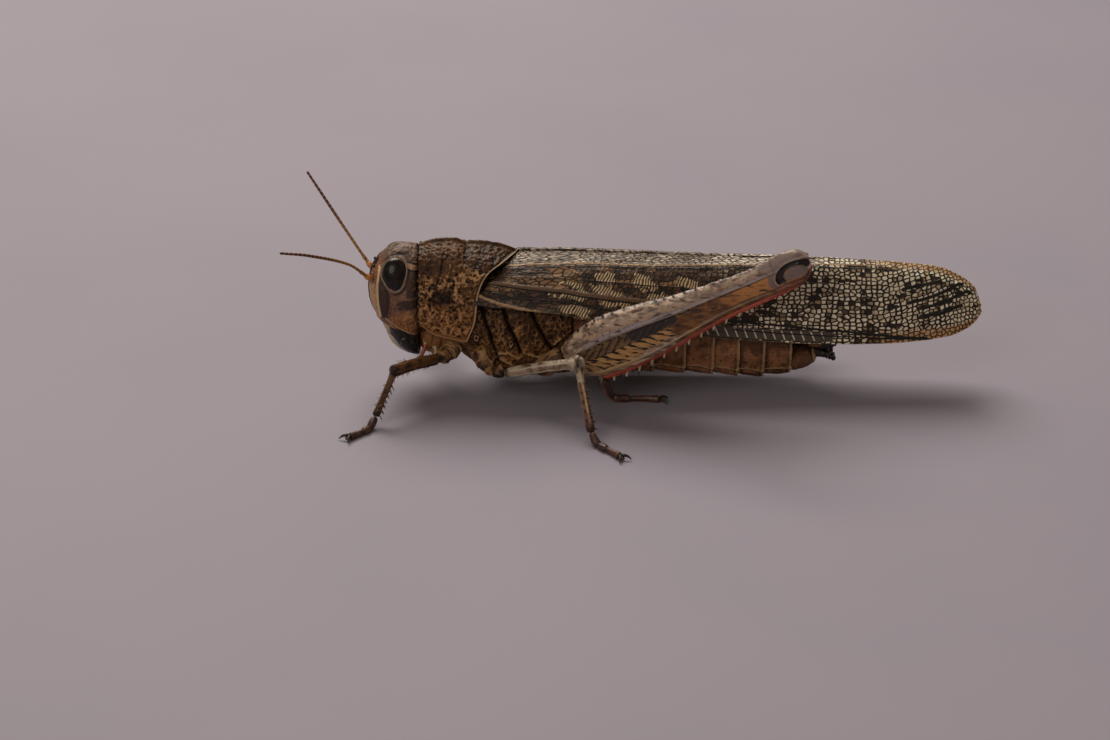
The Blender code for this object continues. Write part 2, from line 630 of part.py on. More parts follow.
def build_hind_leg(side, word, rise_angle):
    """The jumping leg, its shin folded up under the thigh."""
    sides = 12
    rings = []
    for distance in [0, 0.4, 1.0, 1.8] + spread(2.8, 24.6, 12) + [25.4, HIND_FEMUR_LENGTH]:
        _, rise, drop, half_thickness = smooth(HIND_THIGH, distance)
        centre, up = thigh_frame(distance, rise_angle)
        ring = []
        for k in range(sides):
            turn = 2 * math.pi * k / sides
            height = math.sin(turn) * (rise if math.sin(turn) > 0 else drop)
            across = Vector((0, -half_thickness * math.cos(turn), 0))
            ring.append(mirrored(centre + across + up * height, side))
        rings.append(ring)
    loft("hind_femur_" + word, rings, "hind_thigh")

    shin = []
    for distance in (24.6, 21.0, 16.0, 11.0, 6.0, 2.6):
        drop = smooth(HIND_THIGH, distance)[2]
        centre, up = thigh_frame(distance, rise_angle)
        tuck = SHIN_TUCK * (1 - distance / HIND_FEMUR_LENGTH)
        point = centre - up * (drop + GAP + SHIN_RADIUS) - Vector((0, tuck, 0))
        shin.append(mirrored(point, side))
    limb("hind_tibia_" + word, shin, [(0, SHIN_RADIUS, SHIN_RADIUS), (1, SHIN_RADIUS, SHIN_RADIUS)],
         "hind_shin", sides=8, rings=9)

    coxa = [mirrored(p, side) for p in ((17.3, 4.75, 3.6), (18.3, 4.95, 4.9))]
    limb("hind_coxa_" + word, coxa, [(0, 0.8, 0.8), (1, 0.7, 0.7)], "thorax", sides=10, rings=4)
    heel = shin[-1] + Vector((0.1, -HEEL_STEP * side, -HEEL_STEP))
    foot = [heel] + [mirrored(p, side) for p in HIND_FOOT]
    build_foot("hind_tarsus_" + word, foot)


# ---- Assembly ---------------------------------------------------------------------------


def place_on_origin():
    """Hang every object on one empty and stand the middle of the whole box on the origin."""
    bpy.context.view_layer.update()
    graph = bpy.context.evaluated_depsgraph_get()
    items = [o for o in bpy.data.objects if o.type == "MESH"]
    corners = []
    for item in items:
        if not item.hide_render:
            corners += [v.co.copy() for v in item.evaluated_get(graph).data.vertices]
    middle_x = (min(c.x for c in corners) + max(c.x for c in corners)) / 2
    middle_y = (min(c.y for c in corners) + max(c.y for c in corners)) / 2
    stand = bpy.data.objects.new("locust", None)
    bpy.context.collection.objects.link(stand)
    for item in items:
        item.parent = stand
    stand.location = (-middle_x, -middle_y, 0)


def main():
    for item in list(bpy.data.objects):
        bpy.data.objects.remove(item)
    for name in FINISHES:
        make_finish(name)
    build_head()
    build_antennae()
    build_labrum()
    for side, word in ((-1, "left"), (1, "right")):
        build_mandible(side, word)
    build_mouth_underside()
    build_thorax()
    build_abdomen()
    build_tail()
    build_pronotum()
    build_wings()
    build_walking_legs()
    build_hind_leg(-1, "left", LEFT_KNEE_RISE)
    build_hind_leg(1, "right", RIGHT_KNEE_RISE)
    place_on_origin()


main()
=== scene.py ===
"""Looks of a migratory locust, brown form, adult female, standing with its wings folded.

Shapes are worked out in the insect's own frame in millimetres: x runs back from the face, the
left side is at minus y, and z is up from the floor. place() turns that into the row frame.
"""

import itertools
import math

import bmesh
import bpy
import numpy as np
from mathutils import Matrix, Vector


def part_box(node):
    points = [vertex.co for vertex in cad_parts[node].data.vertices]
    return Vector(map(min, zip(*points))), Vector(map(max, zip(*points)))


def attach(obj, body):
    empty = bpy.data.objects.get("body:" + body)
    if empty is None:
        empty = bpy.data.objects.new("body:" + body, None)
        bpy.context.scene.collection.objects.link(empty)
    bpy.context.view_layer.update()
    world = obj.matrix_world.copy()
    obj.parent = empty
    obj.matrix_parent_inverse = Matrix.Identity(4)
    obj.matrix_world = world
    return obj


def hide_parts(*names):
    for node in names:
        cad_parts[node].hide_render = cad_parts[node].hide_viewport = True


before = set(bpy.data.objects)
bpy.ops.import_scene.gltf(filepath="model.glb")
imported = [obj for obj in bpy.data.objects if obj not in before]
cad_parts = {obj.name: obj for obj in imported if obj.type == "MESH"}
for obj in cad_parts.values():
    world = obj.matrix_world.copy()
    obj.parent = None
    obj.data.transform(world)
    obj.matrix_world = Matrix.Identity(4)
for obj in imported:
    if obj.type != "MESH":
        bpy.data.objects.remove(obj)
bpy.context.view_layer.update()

MM = 0.001
SHARP_ANGLE = math.radians(60)
HAIR_RADIUS = 0.022
EYE_CENTRE = np.array((2.9, 2.4, 12.62))
EYE_HALF = np.array((1.34, 0.92, 1.76))
EYE_LEAN = math.radians(18)
EYE_TAPER = 0.04
MIDDLE_X = EYE_CENTRE[0] - sum(corner.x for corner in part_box("eye_left")) / 2 / MM
SIDES = ((-1, "left"), (1, "right"))


# ---- Curves, fields and noise ----

def smooth(stations, t):
    """Values at t on a smooth curve through stations, each (t, value, value, ...)."""
    table = np.array(stations, float)
    knots = table[:, 0]
    t = np.clip(np.asarray(t, float), knots[0], knots[-1])
    index = np.arange(len(knots))
    before = np.maximum(index - 1, 0)
    after = np.minimum(index + 1, len(knots) - 1)
    slope = (table[after] - table[before]) / (knots[after] - knots[before])[:, None]
    k = np.clip(np.searchsorted(knots, t) - 1, 0, len(knots) - 2)
    span = (knots[k + 1] - knots[k])[..., None]
    u = (t - knots[k])[..., None] / span
    change = table[k + 1] - table[k]
    start = slope[k] * span
    end = slope[k + 1] * span
    value = (table[k] + start * u + (3 * change - 2 * start - end) * u ** 2
             + (start + end - 2 * change) * u ** 3)
    return np.moveaxis(value[..., 1:], -1, 0)


def bulge(value, power):
    """A power that keeps the sign."""
    return np.copysign(np.abs(value) ** power, value)


def unit(value):
    """The value held between 0 and 1."""
    return np.clip(value, 0, 1)


def length_of(vectors):
    """Lengths of vectors, which lie along the last axis."""
    return np.linalg.norm(vectors, axis=-1)


def running_length(line):
    """Length of a line of points up to each of them."""
    return np.concatenate([[0], np.cumsum(length_of(np.diff(line, axis=0)))])


def step(value, low, high):
    """0 below low, 1 above high, smooth between. With high under low it falls."""
    t = unit((value - low) / (high - low))
    return t * t * (3 - 2 * t)


def window(value, a, b, c, d):
    """0 up to a, 1 from b to c and 0 from d."""
    return step(value, a, b) * step(value, d, c)


def band(value, low, high, soft=0.15):
    """1 between low and high, with edges 2 * soft wide."""
    return window(value, low - soft, low + soft, high - soft, high + soft)


def hump(distance, width):
    """1 at distance 0, falling off over width."""
    return np.exp(-(distance / width) ** 2)


def from_line(a, b, points):
    """Distance in mm from the places (a, b) to a line through points."""
    nearest = np.full(np.shape(a), 1e9)
    for (a0, b0), (a1, b1) in zip(points, points[1:]):
        da, db = a1 - a0, b1 - b0
        t = unit(((a - a0) * da + (b - b0) * db) / (da * da + db * db))
        nearest = np.minimum(nearest, np.hypot(a - a0 - t * da, b - b0 - t * db))
    return nearest


def scatter(cell, seed):
    """A number from 0 to 1 for each lattice cell, the same in every run."""
    mixed = cell @ np.array((73856093, 19349663, 83492791)) + seed * 7919
    mixed = (mixed ^ (mixed >> 13)) * 1274126177 & 0x7FFFFFFF
    return ((mixed ^ (mixed >> 15)) & 0xFFFF) / 65535


def grain(points, size, seed=0):
    """Smooth noise from -1 to 1 with bumps about size mm across."""
    at = points / size
    cell = np.floor(at).astype(np.int64)
    part = at - cell
    part = part * part * (3 - 2 * part)
    total = 0
    for corner in itertools.product((0, 1), repeat=3):
        weight = np.prod(np.where(corner, part, 1 - part), axis=-1)
        total = total + weight * scatter(cell + corner, seed)
    return 2 * total - 1


def dots(points, size, seed=0):
    """Distance, in shares of size, to the nearest of scattered dots about size mm apart."""
    at = points / size
    cell = np.floor(at).astype(np.int64)
    nearest = np.full(at.shape[:-1], 9.0)
    for corner in itertools.product((-1, 0, 1), repeat=3):
        near = cell + corner
        centre = near + np.stack([scatter(near, seed + k) for k in range(3)], axis=-1)
        nearest = np.minimum(nearest, length_of(at - centre))
    return nearest


def grid_normals(grid, closed):
    """Outward or inward unit normals of a grid of points."""
    if closed:
        across = np.roll(grid, -1, axis=1) - np.roll(grid, 1, axis=1)
    else:
        across = np.gradient(grid, axis=1)
    normal = np.cross(np.gradient(grid, axis=0), across)
    return normal / np.maximum(np.linalg.norm(normal, axis=-1, keepdims=True), 1e-9)


def turns(count):
    """The angles of a ring's points, as one row."""
    return 2 * math.pi * np.arange(count)[None, :] / count


# ---- Meshes ----

def place(points):
    """Points of the insect's frame in mm as points of the row frame in metres."""
    return (np.asarray(points, float) - (MIDDLE_X, 0, 0)) * MM


def link(name, data):
    """A new object in the scene."""
    made = bpy.data.objects.new(name, data)
    bpy.context.scene.collection.objects.link(made)
    return made


def grid_faces(rows, columns, closed):
    """The quads of a grid of points. A closed one joins its last column to its first."""
    r, c = np.mgrid[0:rows - 1, 0:columns if closed else columns - 1]
    d = (c + 1) % columns
    quads = (r * columns + c, r * columns + d, (r + 1) * columns + d, (r + 1) * columns + c)
    return np.stack(quads, axis=-1).reshape(-1, 4).tolist()


def make_piece(name, points, faces, finish, masks=None, nodes=(), slot=None):
    """A mesh object in the row frame, with its markings as point attributes."""
    mesh = bpy.data.meshes.new(name)
    mesh.from_pydata(place(points).tolist(), [], faces)
    for mark, values in (masks or {}).items():
        stored = mesh.attributes.new(mark, "FLOAT", "POINT")
        stored.data.foreach_set("value", np.ascontiguousarray(values, np.float32).ravel())
    solid = bmesh.new()
    solid.from_mesh(mesh)
    bmesh.ops.recalc_face_normals(solid, faces=solid.faces)
    solid.to_mesh(mesh)
    solid.free()
    mesh.shade_smooth()
    mesh.set_sharp_from_angle(angle=SHARP_ANGLE)
    mesh.materials.append(finish)
    piece = link(name, mesh)
    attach(piece, "root")
    if nodes:
        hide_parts(*nodes)


def loft(name, grid, finish, masks=None, **links):
    """A closed tube through a grid of points, each row a ring, with its two ends filled."""
    rows, columns = grid.shape[:2]
    points = grid.reshape(-1, 3)
    faces = grid_faces(rows, columns, True)
    last = (rows - 1) * columns
    for ring, hub in ((0, len(points)), (last, len(points) + 1)):
        faces += [(ring + c, ring + (c + 1) % columns, hub) for c in range(columns)]
    points = np.vstack([points, grid[0].mean(axis=0), grid[-1].mean(axis=0)])
    filled = {}
    for mark, values in (masks or {}).items():
        values = np.broadcast_to(values, (rows, columns))
        filled[mark] = np.concatenate([values.ravel(), [values[0].mean(), values[-1].mean()]])
    make_piece(name, points, faces, finish, filled, **links)


def plate(name, grid, inward, finish, masks=None, **links):
    """A thin plate: a grid of outer points and, inward of it, its underside."""
    rows, columns = grid.shape[:2]
    under = rows * columns
    faces = grid_faces(rows, columns, False)
    faces += [tuple(under + i for i in face) for face in faces]
    index = np.arange(under).reshape(rows, columns)
    rim = np.concatenate([index[0], index[1:, -1], index[-1, -2::-1], index[-2:0:-1, 0]])
    after = np.roll(rim, -1)
    faces += np.stack([after, rim, rim + under, after + under], axis=-1).tolist()
    points = np.vstack([grid.reshape(-1, 3), (grid + inward).reshape(-1, 3)])
    both = {}
    for mark, values in (masks or {}).items():
        both[mark] = np.tile(np.broadcast_to(values, (rows, columns)).ravel(), 2)
    make_piece(name, points, faces, finish, both, **links)


def route(waypoints, shares):
    """Points at shares of the length of a smooth line through waypoints."""
    waypoints = np.array(waypoints, float)
    at = running_length(waypoints)
    stations = np.column_stack([at, waypoints])
    return smooth(stations, shares * at[-1]).T


LINE_POINTS = 200                   # directions worked out along a limb
CAP_RINGS = 4


def limb_grid(waypoints, radii, rings, sides, dome=0.6):
    """Rings round a line with rounded ends. radii holds (share, half width, half depth).

    Also gives each ring's share of the length and each point's turn: 0 is level with the
    limb on its far side, a quarter is on top.
    """
    length = running_length(waypoints)[-1]
    cap = min(dome * smooth(radii, 0.0)[0] / length, 0.2)
    bend = np.linspace(0, math.pi / 2, CAP_RINGS + 1)[:-1]
    shares = np.concatenate([cap * (1 - np.cos(bend)), np.linspace(cap, 1 - cap, rings),
                             1 - cap * (1 - np.cos(bend[::-1]))])
    swell = np.concatenate([np.sin(bend), np.ones(rings), np.sin(bend[::-1])])
    swell[[0, -1]] = 0.12
    centres = route(waypoints, shares)
    ahead = np.gradient(route(waypoints, np.linspace(0, 1, LINE_POINTS)), axis=0)
    turn = 2 * math.pi * np.arange(sides) / sides
    grid = np.zeros((len(shares), sides, 3))
    across = np.cross((0, 0, 1), ahead[0])
    if np.linalg.norm(across) < 0.1 * np.linalg.norm(ahead[0]):
        across = np.array((0, 1.0, 0))
    for i, share in enumerate(shares):
        along = ahead[int(round(share * (LINE_POINTS - 1)))]
        along = along / np.linalg.norm(along)
        across = across - along * across.dot(along)
        across = across / np.linalg.norm(across)
        up = np.cross(along, across)
        width, depth = smooth(radii, share)
        grid[i] = (centres[i] + np.outer(np.cos(turn), across) * width * swell[i]
                   + np.outer(np.sin(turn), up) * depth * swell[i])
    return grid, shares[:, None], turn[None, :] / (2 * math.pi)


SPIKE_SIDES = 5
SPIKE_LEVELS = (0.0, 0.4, 0.75, 1.0)
SPIKE_POINT = 0.012                 # radius of the tip, so that its last face has a size


def spikes(name, roots, tips, radius, finish, bend=0.0, **links):
    """Curved thorns from roots to tips, as one mesh, each with its share of length."""
    points, faces, tip_share = [], [], []
    sides = range(SPIKE_SIDES)
    last = (len(SPIKE_LEVELS) - 1) * SPIKE_SIDES
    tube = grid_faces(len(SPIKE_LEVELS), SPIKE_SIDES, True)
    for root, tip in zip(np.asarray(roots, float), np.asarray(tips, float)):
        along = tip - root
        length = np.linalg.norm(along)
        side = np.cross(along, (0.3, 0.9, 0.31))
        side = side / np.linalg.norm(side)
        other = np.cross(along, side) / length
        first = len(points)
        for level in SPIKE_LEVELS:
            centre = root + along * level + other * bend * length * level * (1 - level)
            width = radius * (1 - level) ** 0.7 + SPIKE_POINT
            for k in sides:
                turn = 2 * math.pi * k / SPIKE_SIDES
                points.append(centre + (side * math.cos(turn) + other * math.sin(turn)) * width)
                tip_share.append(level)
        faces += [tuple(first + i for i in face) for face in tube]
        faces.append(tuple(first + k for k in sides))
        faces.append(tuple(first + last + k for k in sides))
    make_piece(name, points, faces, finish, {"tip": tip_share}, **links)


def hairs(name, grid, count, length, finish, seed, **links):
    """Fine hairs standing on a closed grid, leaning towards its far end."""
    pick = np.random.RandomState(seed)
    rows = pick.randint(len(grid) // 12, len(grid) - len(grid) // 8, count)
    columns = pick.randint(0, grid.shape[1], count)
    roots = grid[rows, columns]
    away = grid_normals(grid, True)[rows, columns]
    middle = grid[rows].mean(axis=1)
    away = away * np.sign((away * (roots - middle)).sum(-1, keepdims=True))
    ahead = grid[rows + 1, columns] - roots
    ahead = ahead / np.linalg.norm(ahead, axis=-1, keepdims=True)
    size = length * pick.uniform(0.6, 1.2, (count, 1))
    tips = roots + (away + ahead * 0.7) * size
    spikes(name, roots - away * 0.03, tips, HAIR_RADIUS, finish, bend=0.1, **links)


def mirrored(points, side):
    """Points given for the right side, moved to the asked one."""
    return np.asarray(points, float) * (1, side, 1)


# ---- Finishes ----

CHITIN_IOR = 1.56
GLOW_REACH = 0.3 * MM               # how far light spreads inside thin cuticle


def linear(code):
    """An sRGB hex colour as linear light."""
    channels = [int(code[i:i + 2], 16) / 255 for i in (1, 3, 5)]
    return [c / 12.92 if c <= 0.04045 else ((c + 0.055) / 1.055) ** 2.4 for c in channels] + [1.0]


def source(tree, value):
    """What an input takes. Text is a hex colour or the name of a marking of the mesh.
    (marking, rough texture, amount) is a marking with its edge frayed by the texture, and a
    list of two fields shows only where both do."""
    if isinstance(value, bpy.types.Node):
        return value.outputs[0]
    if isinstance(value, list):
        return add(tree, "Math", dict(enumerate(value)), operation="MULTIPLY").outputs[0]
    if isinstance(value, tuple) and isinstance(value[0], str):
        mark, rough, amount = value
        centred = add(tree, "Math", {0: rough, 1: 0.5}, operation="SUBTRACT")
        frayed = {0: centred, 1: amount, 2: mark}
        return add(tree, "Math", frayed, operation="MULTIPLY_ADD").outputs[0]
    if isinstance(value, str) and not value.startswith("#"):
        return add(tree, "Attribute", attribute_name=value).outputs["Fac"]
    return linear(value) if isinstance(value, str) else value


def add(tree, kind, inputs=None, **settings):
    """A node with its settings, and its inputs linked or set as source() reads them."""
    made = tree.nodes.new("ShaderNode" + kind)
    for setting, value in settings.items():
        setattr(made, setting, value)
    for socket, value in (inputs or {}).items():
        value = source(tree, value)
        if isinstance(value, bpy.types.NodeSocket):
            tree.links.new(value, made.inputs[socket])
        else:
            made.inputs[socket].default_value = value
    return made


def start_finish(name, roughness, **settings):
    """A finish with its shader's settings, and places on the surface in mm."""
    material = bpy.data.materials.new(name)
    material.use_nodes = True
    tree = material.node_tree
    shader = tree.nodes["Principled BSDF"]
    settings = {"IOR": CHITIN_IOR, "Roughness": roughness, **settings}
    for setting, value in settings.items():
        shader.inputs[setting.replace("_", " ")].default_value = value
    where = add(tree, "TexCoord").outputs["Object"]
    mm = add(tree, "VectorMath", {0: where, "Scale": 1 / MM}, operation="SCALE")
    return material, tree, mm.outputs[0]


def mottle(tree, mm, size, detail=3.0, stretch=None):
    """Cloudy variation with patches about size mm across, from 0 to 1."""
    if stretch:
        mm = add(tree, "VectorMath", {0: mm, 1: stretch}, operation="MULTIPLY")
    return add(tree, "TexNoise", {"Vector": mm, "Scale": 1 / size, "Detail": detail}).outputs[0]


def end_finish(material, ground, coats, layers=()):
    """Lay coats of colour over a ground, and press layers of relief into it. A coat is
    (field, low, high, colour): it shows where the field has passed from low to high. A layer
    is (height from 0 to 1, depth in mm)."""
    tree = material.node_tree
    shader = tree.nodes["Principled BSDF"]
    tree.links.new(paint(tree, ground, coats), shader.inputs["Base Color"])
    total = 0.0
    for height, depth in layers:
        total = add(tree, "Math", {0: height, 1: depth, 2: total}, operation="MULTIPLY_ADD")
    if layers:
        bump = add(tree, "Bump", {"Height": total, "Distance": MM, "Strength": 1.0})
        tree.links.new(bump.outputs[0], shader.inputs["Normal"])
    return material


def paint(tree, ground, coats):
    """The colour of a ground under its coats, which end_finish() describes."""
    for field, low, high, colour in coats:
        cover = add(tree, "MapRange", {0: field, 1: low, 2: high}, interpolation_type="SMOOTHSTEP")
        ground = add(tree, "Mix", {0: cover, 6: ground, 7: colour}, data_type="RGBA").outputs[2]
    return ground


def head_finish():
    """Tanned cuticle of the head capsule, grown smooth and finely punctured, so it is matt
    with small soft lights. Each sclerite has its own brown, and the punctures are darker,
    which speckles them all. The crests of its wrinkles are painted pale as a painted
    highlight, and the trough between the keels of the face dark as painted shade."""
    material, tree, mm = start_finish("tanned_head_cuticle", 0.5, Specular_IOR_Level=0.35)
    cloud = mottle(tree, mm, 0.9)
    fine = mottle(tree, mm, 0.16)
    pits = add(tree, "TexVoronoi", {"Vector": mm, "Scale": 1 / 0.24}).outputs["Distance"]
    return end_finish(material, "#7a5540", [
        (cloud, 0.42, 0.62, "#8c6950"),
        (("crown", cloud, 0.5), 0.4, 0.6, "#5f4738"),
        (("temple", cloud, 0.6), 0.25, 0.8, "#46352a"),
        (("cheek_low", cloud, 1.0), 0.15, 1.0, "#b97e4a"),
        ([("cheek_low", fine, 0.6), mottle(tree, mm, 0.35)], 0.36, 0.5, "#8a5833"),
        (("cheek_patch", cloud, 1.2), 0.35, 0.95, "#3f2c20"),
        (("face_band", cloud, 0.4), 0.3, 0.7, "#b98f62"),
        ([("face_band", fine, 0.2), mottle(tree, mm, 0.4)], 0.45, 0.65, "#d0ab7f"),
        (("socket_area", cloud, 0.6), 0.4, 0.8, "#80552f"),
        # The trough between the face keels painted dark: painted shade.
        (("furrow", cloud, 0.7), 0.25, 0.75, "#33221a"),
        (("cheek_stripe", fine, 0.4), 0.35, 0.65, "#3a261b"),
        (("eye_stripe", fine, 0.3), 0.4, 0.6, "#b78a70"),
        # Wrinkle crests painted pale: painted highlight.
        (("ridge", fine, 0.5), 0.55, 0.95, "#8b6c52"),
        (fine, 0.5, 0.72, "#432f22"),
        (("pale_edge", fine, 0.4), 0.35, 0.7, "#d0b48e"),
        (("rim", fine, 0.3), 0.4, 0.7, "#857060"),
        (("dark_line", fine, 0.3), 0.35, 0.6, "#17100c"),
        (pits, 0.2, 0.04, "#33271f"),
    ], [(pits, 0.03), (fine, 0.03), (cloud, 0.03)])


def eye_finish():
    """Compound eye: thousands of clear lenses 0.03 mm wide over a dark pigment, which reads
    as black glass. The lenses are drawn 0.07 mm wide, the least that shows."""
    material, tree, mm = start_finish("faceted_eye_lenses", 0.2, Coat_Weight=0.3,
                                      Coat_Roughness=0.06, Specular_IOR_Level=0.15)
    lenses = add(tree, "TexVoronoi", {"Vector": mm, "Scale": 1 / 0.07, "Randomness": 0.3})
    return end_finish(material, "#0d0a08", [
        (mottle(tree, mm, 1.2), 0.45, 0.8, "#2a1c14"),
        (mottle(tree, mm, 0.5, stretch=(1.0, 1.0, 0.2)), 0.5, 0.7, "#241a15"),
        ("rim", 0.3, 0.8, "#5d4d40"),
    ], [(lenses.outputs["Distance"], 0.012)])


def antenna_finish():
    """Ringed cuticle of the feeler, each segment dark with a golden joint."""
    material, tree, mm = start_finish("ringed_feeler_cuticle", 0.4)
    joint = add(tree, "Math", {0: "segment"}, operation="FRACT")
    near = add(tree, "Math", {0: joint, 1: 0.5}, operation="SUBTRACT")
    near = add(tree, "Math", {0: near}, operation="ABSOLUTE")
    fine = mottle(tree, mm, 0.2)
    return end_finish(material, "#8f6420", [
        ("outer", 0.1, 0.9, "#43190f"),
        (fine, 0.5, 0.8, "#5e3410"),
        (near, 0.38, 0.47, "#b5722c"),
        (("base", fine, 0.2), 0.4, 0.7, "#c98a45"),
    ], [(fine, 0.01)])


def lip_finish():
    """Thin pale cuticle of the lips and palps, waxy and almost smooth. Light spreads a little
    way into it, which softens its shadows."""
    material, tree, mm = start_finish("waxy_lip_cuticle", 0.4, Subsurface_Weight=0.15,
                                      Subsurface_Scale=GLOW_REACH)
    fine = mottle(tree, mm, 0.2)
    return end_finish(material, "#b59d76", [
        (mottle(tree, mm, 0.7), 0.45, 0.65, "#cdb48c"),
        (fine, 0.55, 0.75, "#7a6a4a"),
        (("red", fine, 0.3), 0.4, 0.6, "#a04a24"),
        (("dark_line", fine, 0.3), 0.4, 0.6, "#3b2f22"),
    ], [(fine, 0.02)])


def jaw_finish():
    """Hardened black cuticle of the jaws, burnished at the edge and ribbed in front."""
    material, tree, mm = start_finish("hardened_jaw_cuticle", 0.3, Coat_Weight=0.25,
                                      Coat_Roughness=0.15, Specular_IOR_Level=0.35)
    streak = mottle(tree, mm, 0.35, stretch=(2.2, 1.0, 0.5))
    return end_finish(material, "#120e0b", [
        (streak, 0.52, 0.68, "#45321f"),
        ("boss", 0.4, 0.7, "#1f1a16"),
    ], [(streak, 0.05)])


# ---- Head ----

# Level, then x and z of the face, x and z at the back, half width, squareness
HEAD_LEVELS = [
    (0.00, 0.85, 8.00, 4.95, 6.30, 3.00, 2.6),
    (0.14, 0.45, 9.00, 5.20, 7.60, 3.30, 2.6),
    (0.30, 0.22, 10.1, 5.20, 9.30, 3.42, 2.6),
    (0.46, 0.20, 11.1, 5.20, 10.9, 3.35, 2.5),
    (0.62, 0.42, 12.3, 5.20, 12.4, 3.15, 2.3),
    (0.76, 0.90, 13.2, 5.20, 13.2, 2.75, 2.1),
    (0.88, 1.55, 14.05, 5.20, 13.85, 2.15, 2.0),
    (0.96, 2.35, 14.68, 5.15, 14.45, 1.35, 2.0),
    (1.00, 2.95, 14.98, 4.90, 14.85, 0.60, 2.0),
]
HEAD_BACK_SQUARENESS = 5.0
RING_POINTS = 1440                  # of a ring before its points are spaced evenly


def even_rings(rings, count):
    """Closed rings with their points spaced evenly round."""
    even = []
    for ring in rings:
        loop = np.vstack([ring, ring[:1]])
        at = running_length(loop)
        wanted = np.linspace(0, at[-1], count, endpoint=False)
        even.append(np.stack([np.interp(wanted, at, loop[:, k]) for k in range(3)], axis=1))
    return np.array(even)


def tilted_rings(levels, level, count, y=0.0, back_squareness=2.4, squareness=None):
    """Rings that lean, so that each meets the face in front and the nape behind."""
    values = smooth(levels, level)[:, :, None]
    fx, fz, bx, bz, half_width = values[:5]
    front_power = 2 / (values[5] if squareness is None else squareness)
    turn = turns(RING_POINTS)
    power = np.where(np.cos(turn) > 0, front_power, 2 / back_squareness)
    share = (1 - bulge(np.cos(turn), power)) / 2
    rings = np.stack([fx + (bx - fx) * share, y - half_width * bulge(np.sin(turn), power),
                      fz + (bz - fz) * share], axis=-1)
    return even_rings(rings, count)


def raised(grid, height):
    """Rings with each point moved outward by its height."""
    normal = grid_normals(grid, True)
    out = grid - grid.mean(axis=1, keepdims=True)
    if (normal * out).sum() < 0:
        normal = -normal
    return grid + normal * np.broadcast_to(height, grid.shape[:2])[..., None]


def eye_reach(points):
    """1 on the eye's surface, less inside it and more outside, whichever eye is nearer."""
    side = np.where(points[..., 1] < 0, -1, 1)
    away = points - EYE_CENTRE * np.stack([np.ones_like(side), side, np.ones_like(side)], -1)
    lean = EYE_LEAN * side
    across = away[..., 1] * np.cos(lean) + away[..., 2] * np.sin(lean)
    height = (away[..., 2] * np.cos(lean) - away[..., 1] * np.sin(lean)) / EYE_HALF[2]
    girth = 1 + EYE_TAPER * np.clip(height, -1, 1)
    return np.sqrt((away[..., 0] / EYE_HALF[0] / girth) ** 2
                   + (across / EYE_HALF[1] / girth) ** 2 + height ** 2)


FACE_EDGE = [(1.34, 13.2), (1.16, 11.86), (1.18, 10.26), (1.45, 8.54)]
CHEEK_LINE = [(1.95, 11.9), (2.40, 11.0), (2.42, 9.9), (2.2, 8.68)]
CROWN_EDGE = [(0.79, 13.70), (1.49, 13.97), (2.28, 14.29)]
SOCKET = np.array((0.35, 1.45, 12.0))
JAW_EDGE = [(1.05, 8.1), (1.93, 8.42), (3.27, 7.24), (4.25, 6.70), (5.07, 6.27)]


def across_at(line, z):
    """x of a nearly upright line at height z."""
    return smooth([(height, x) for x, height in sorted(line, key=lambda p: p[1])], z)[0]


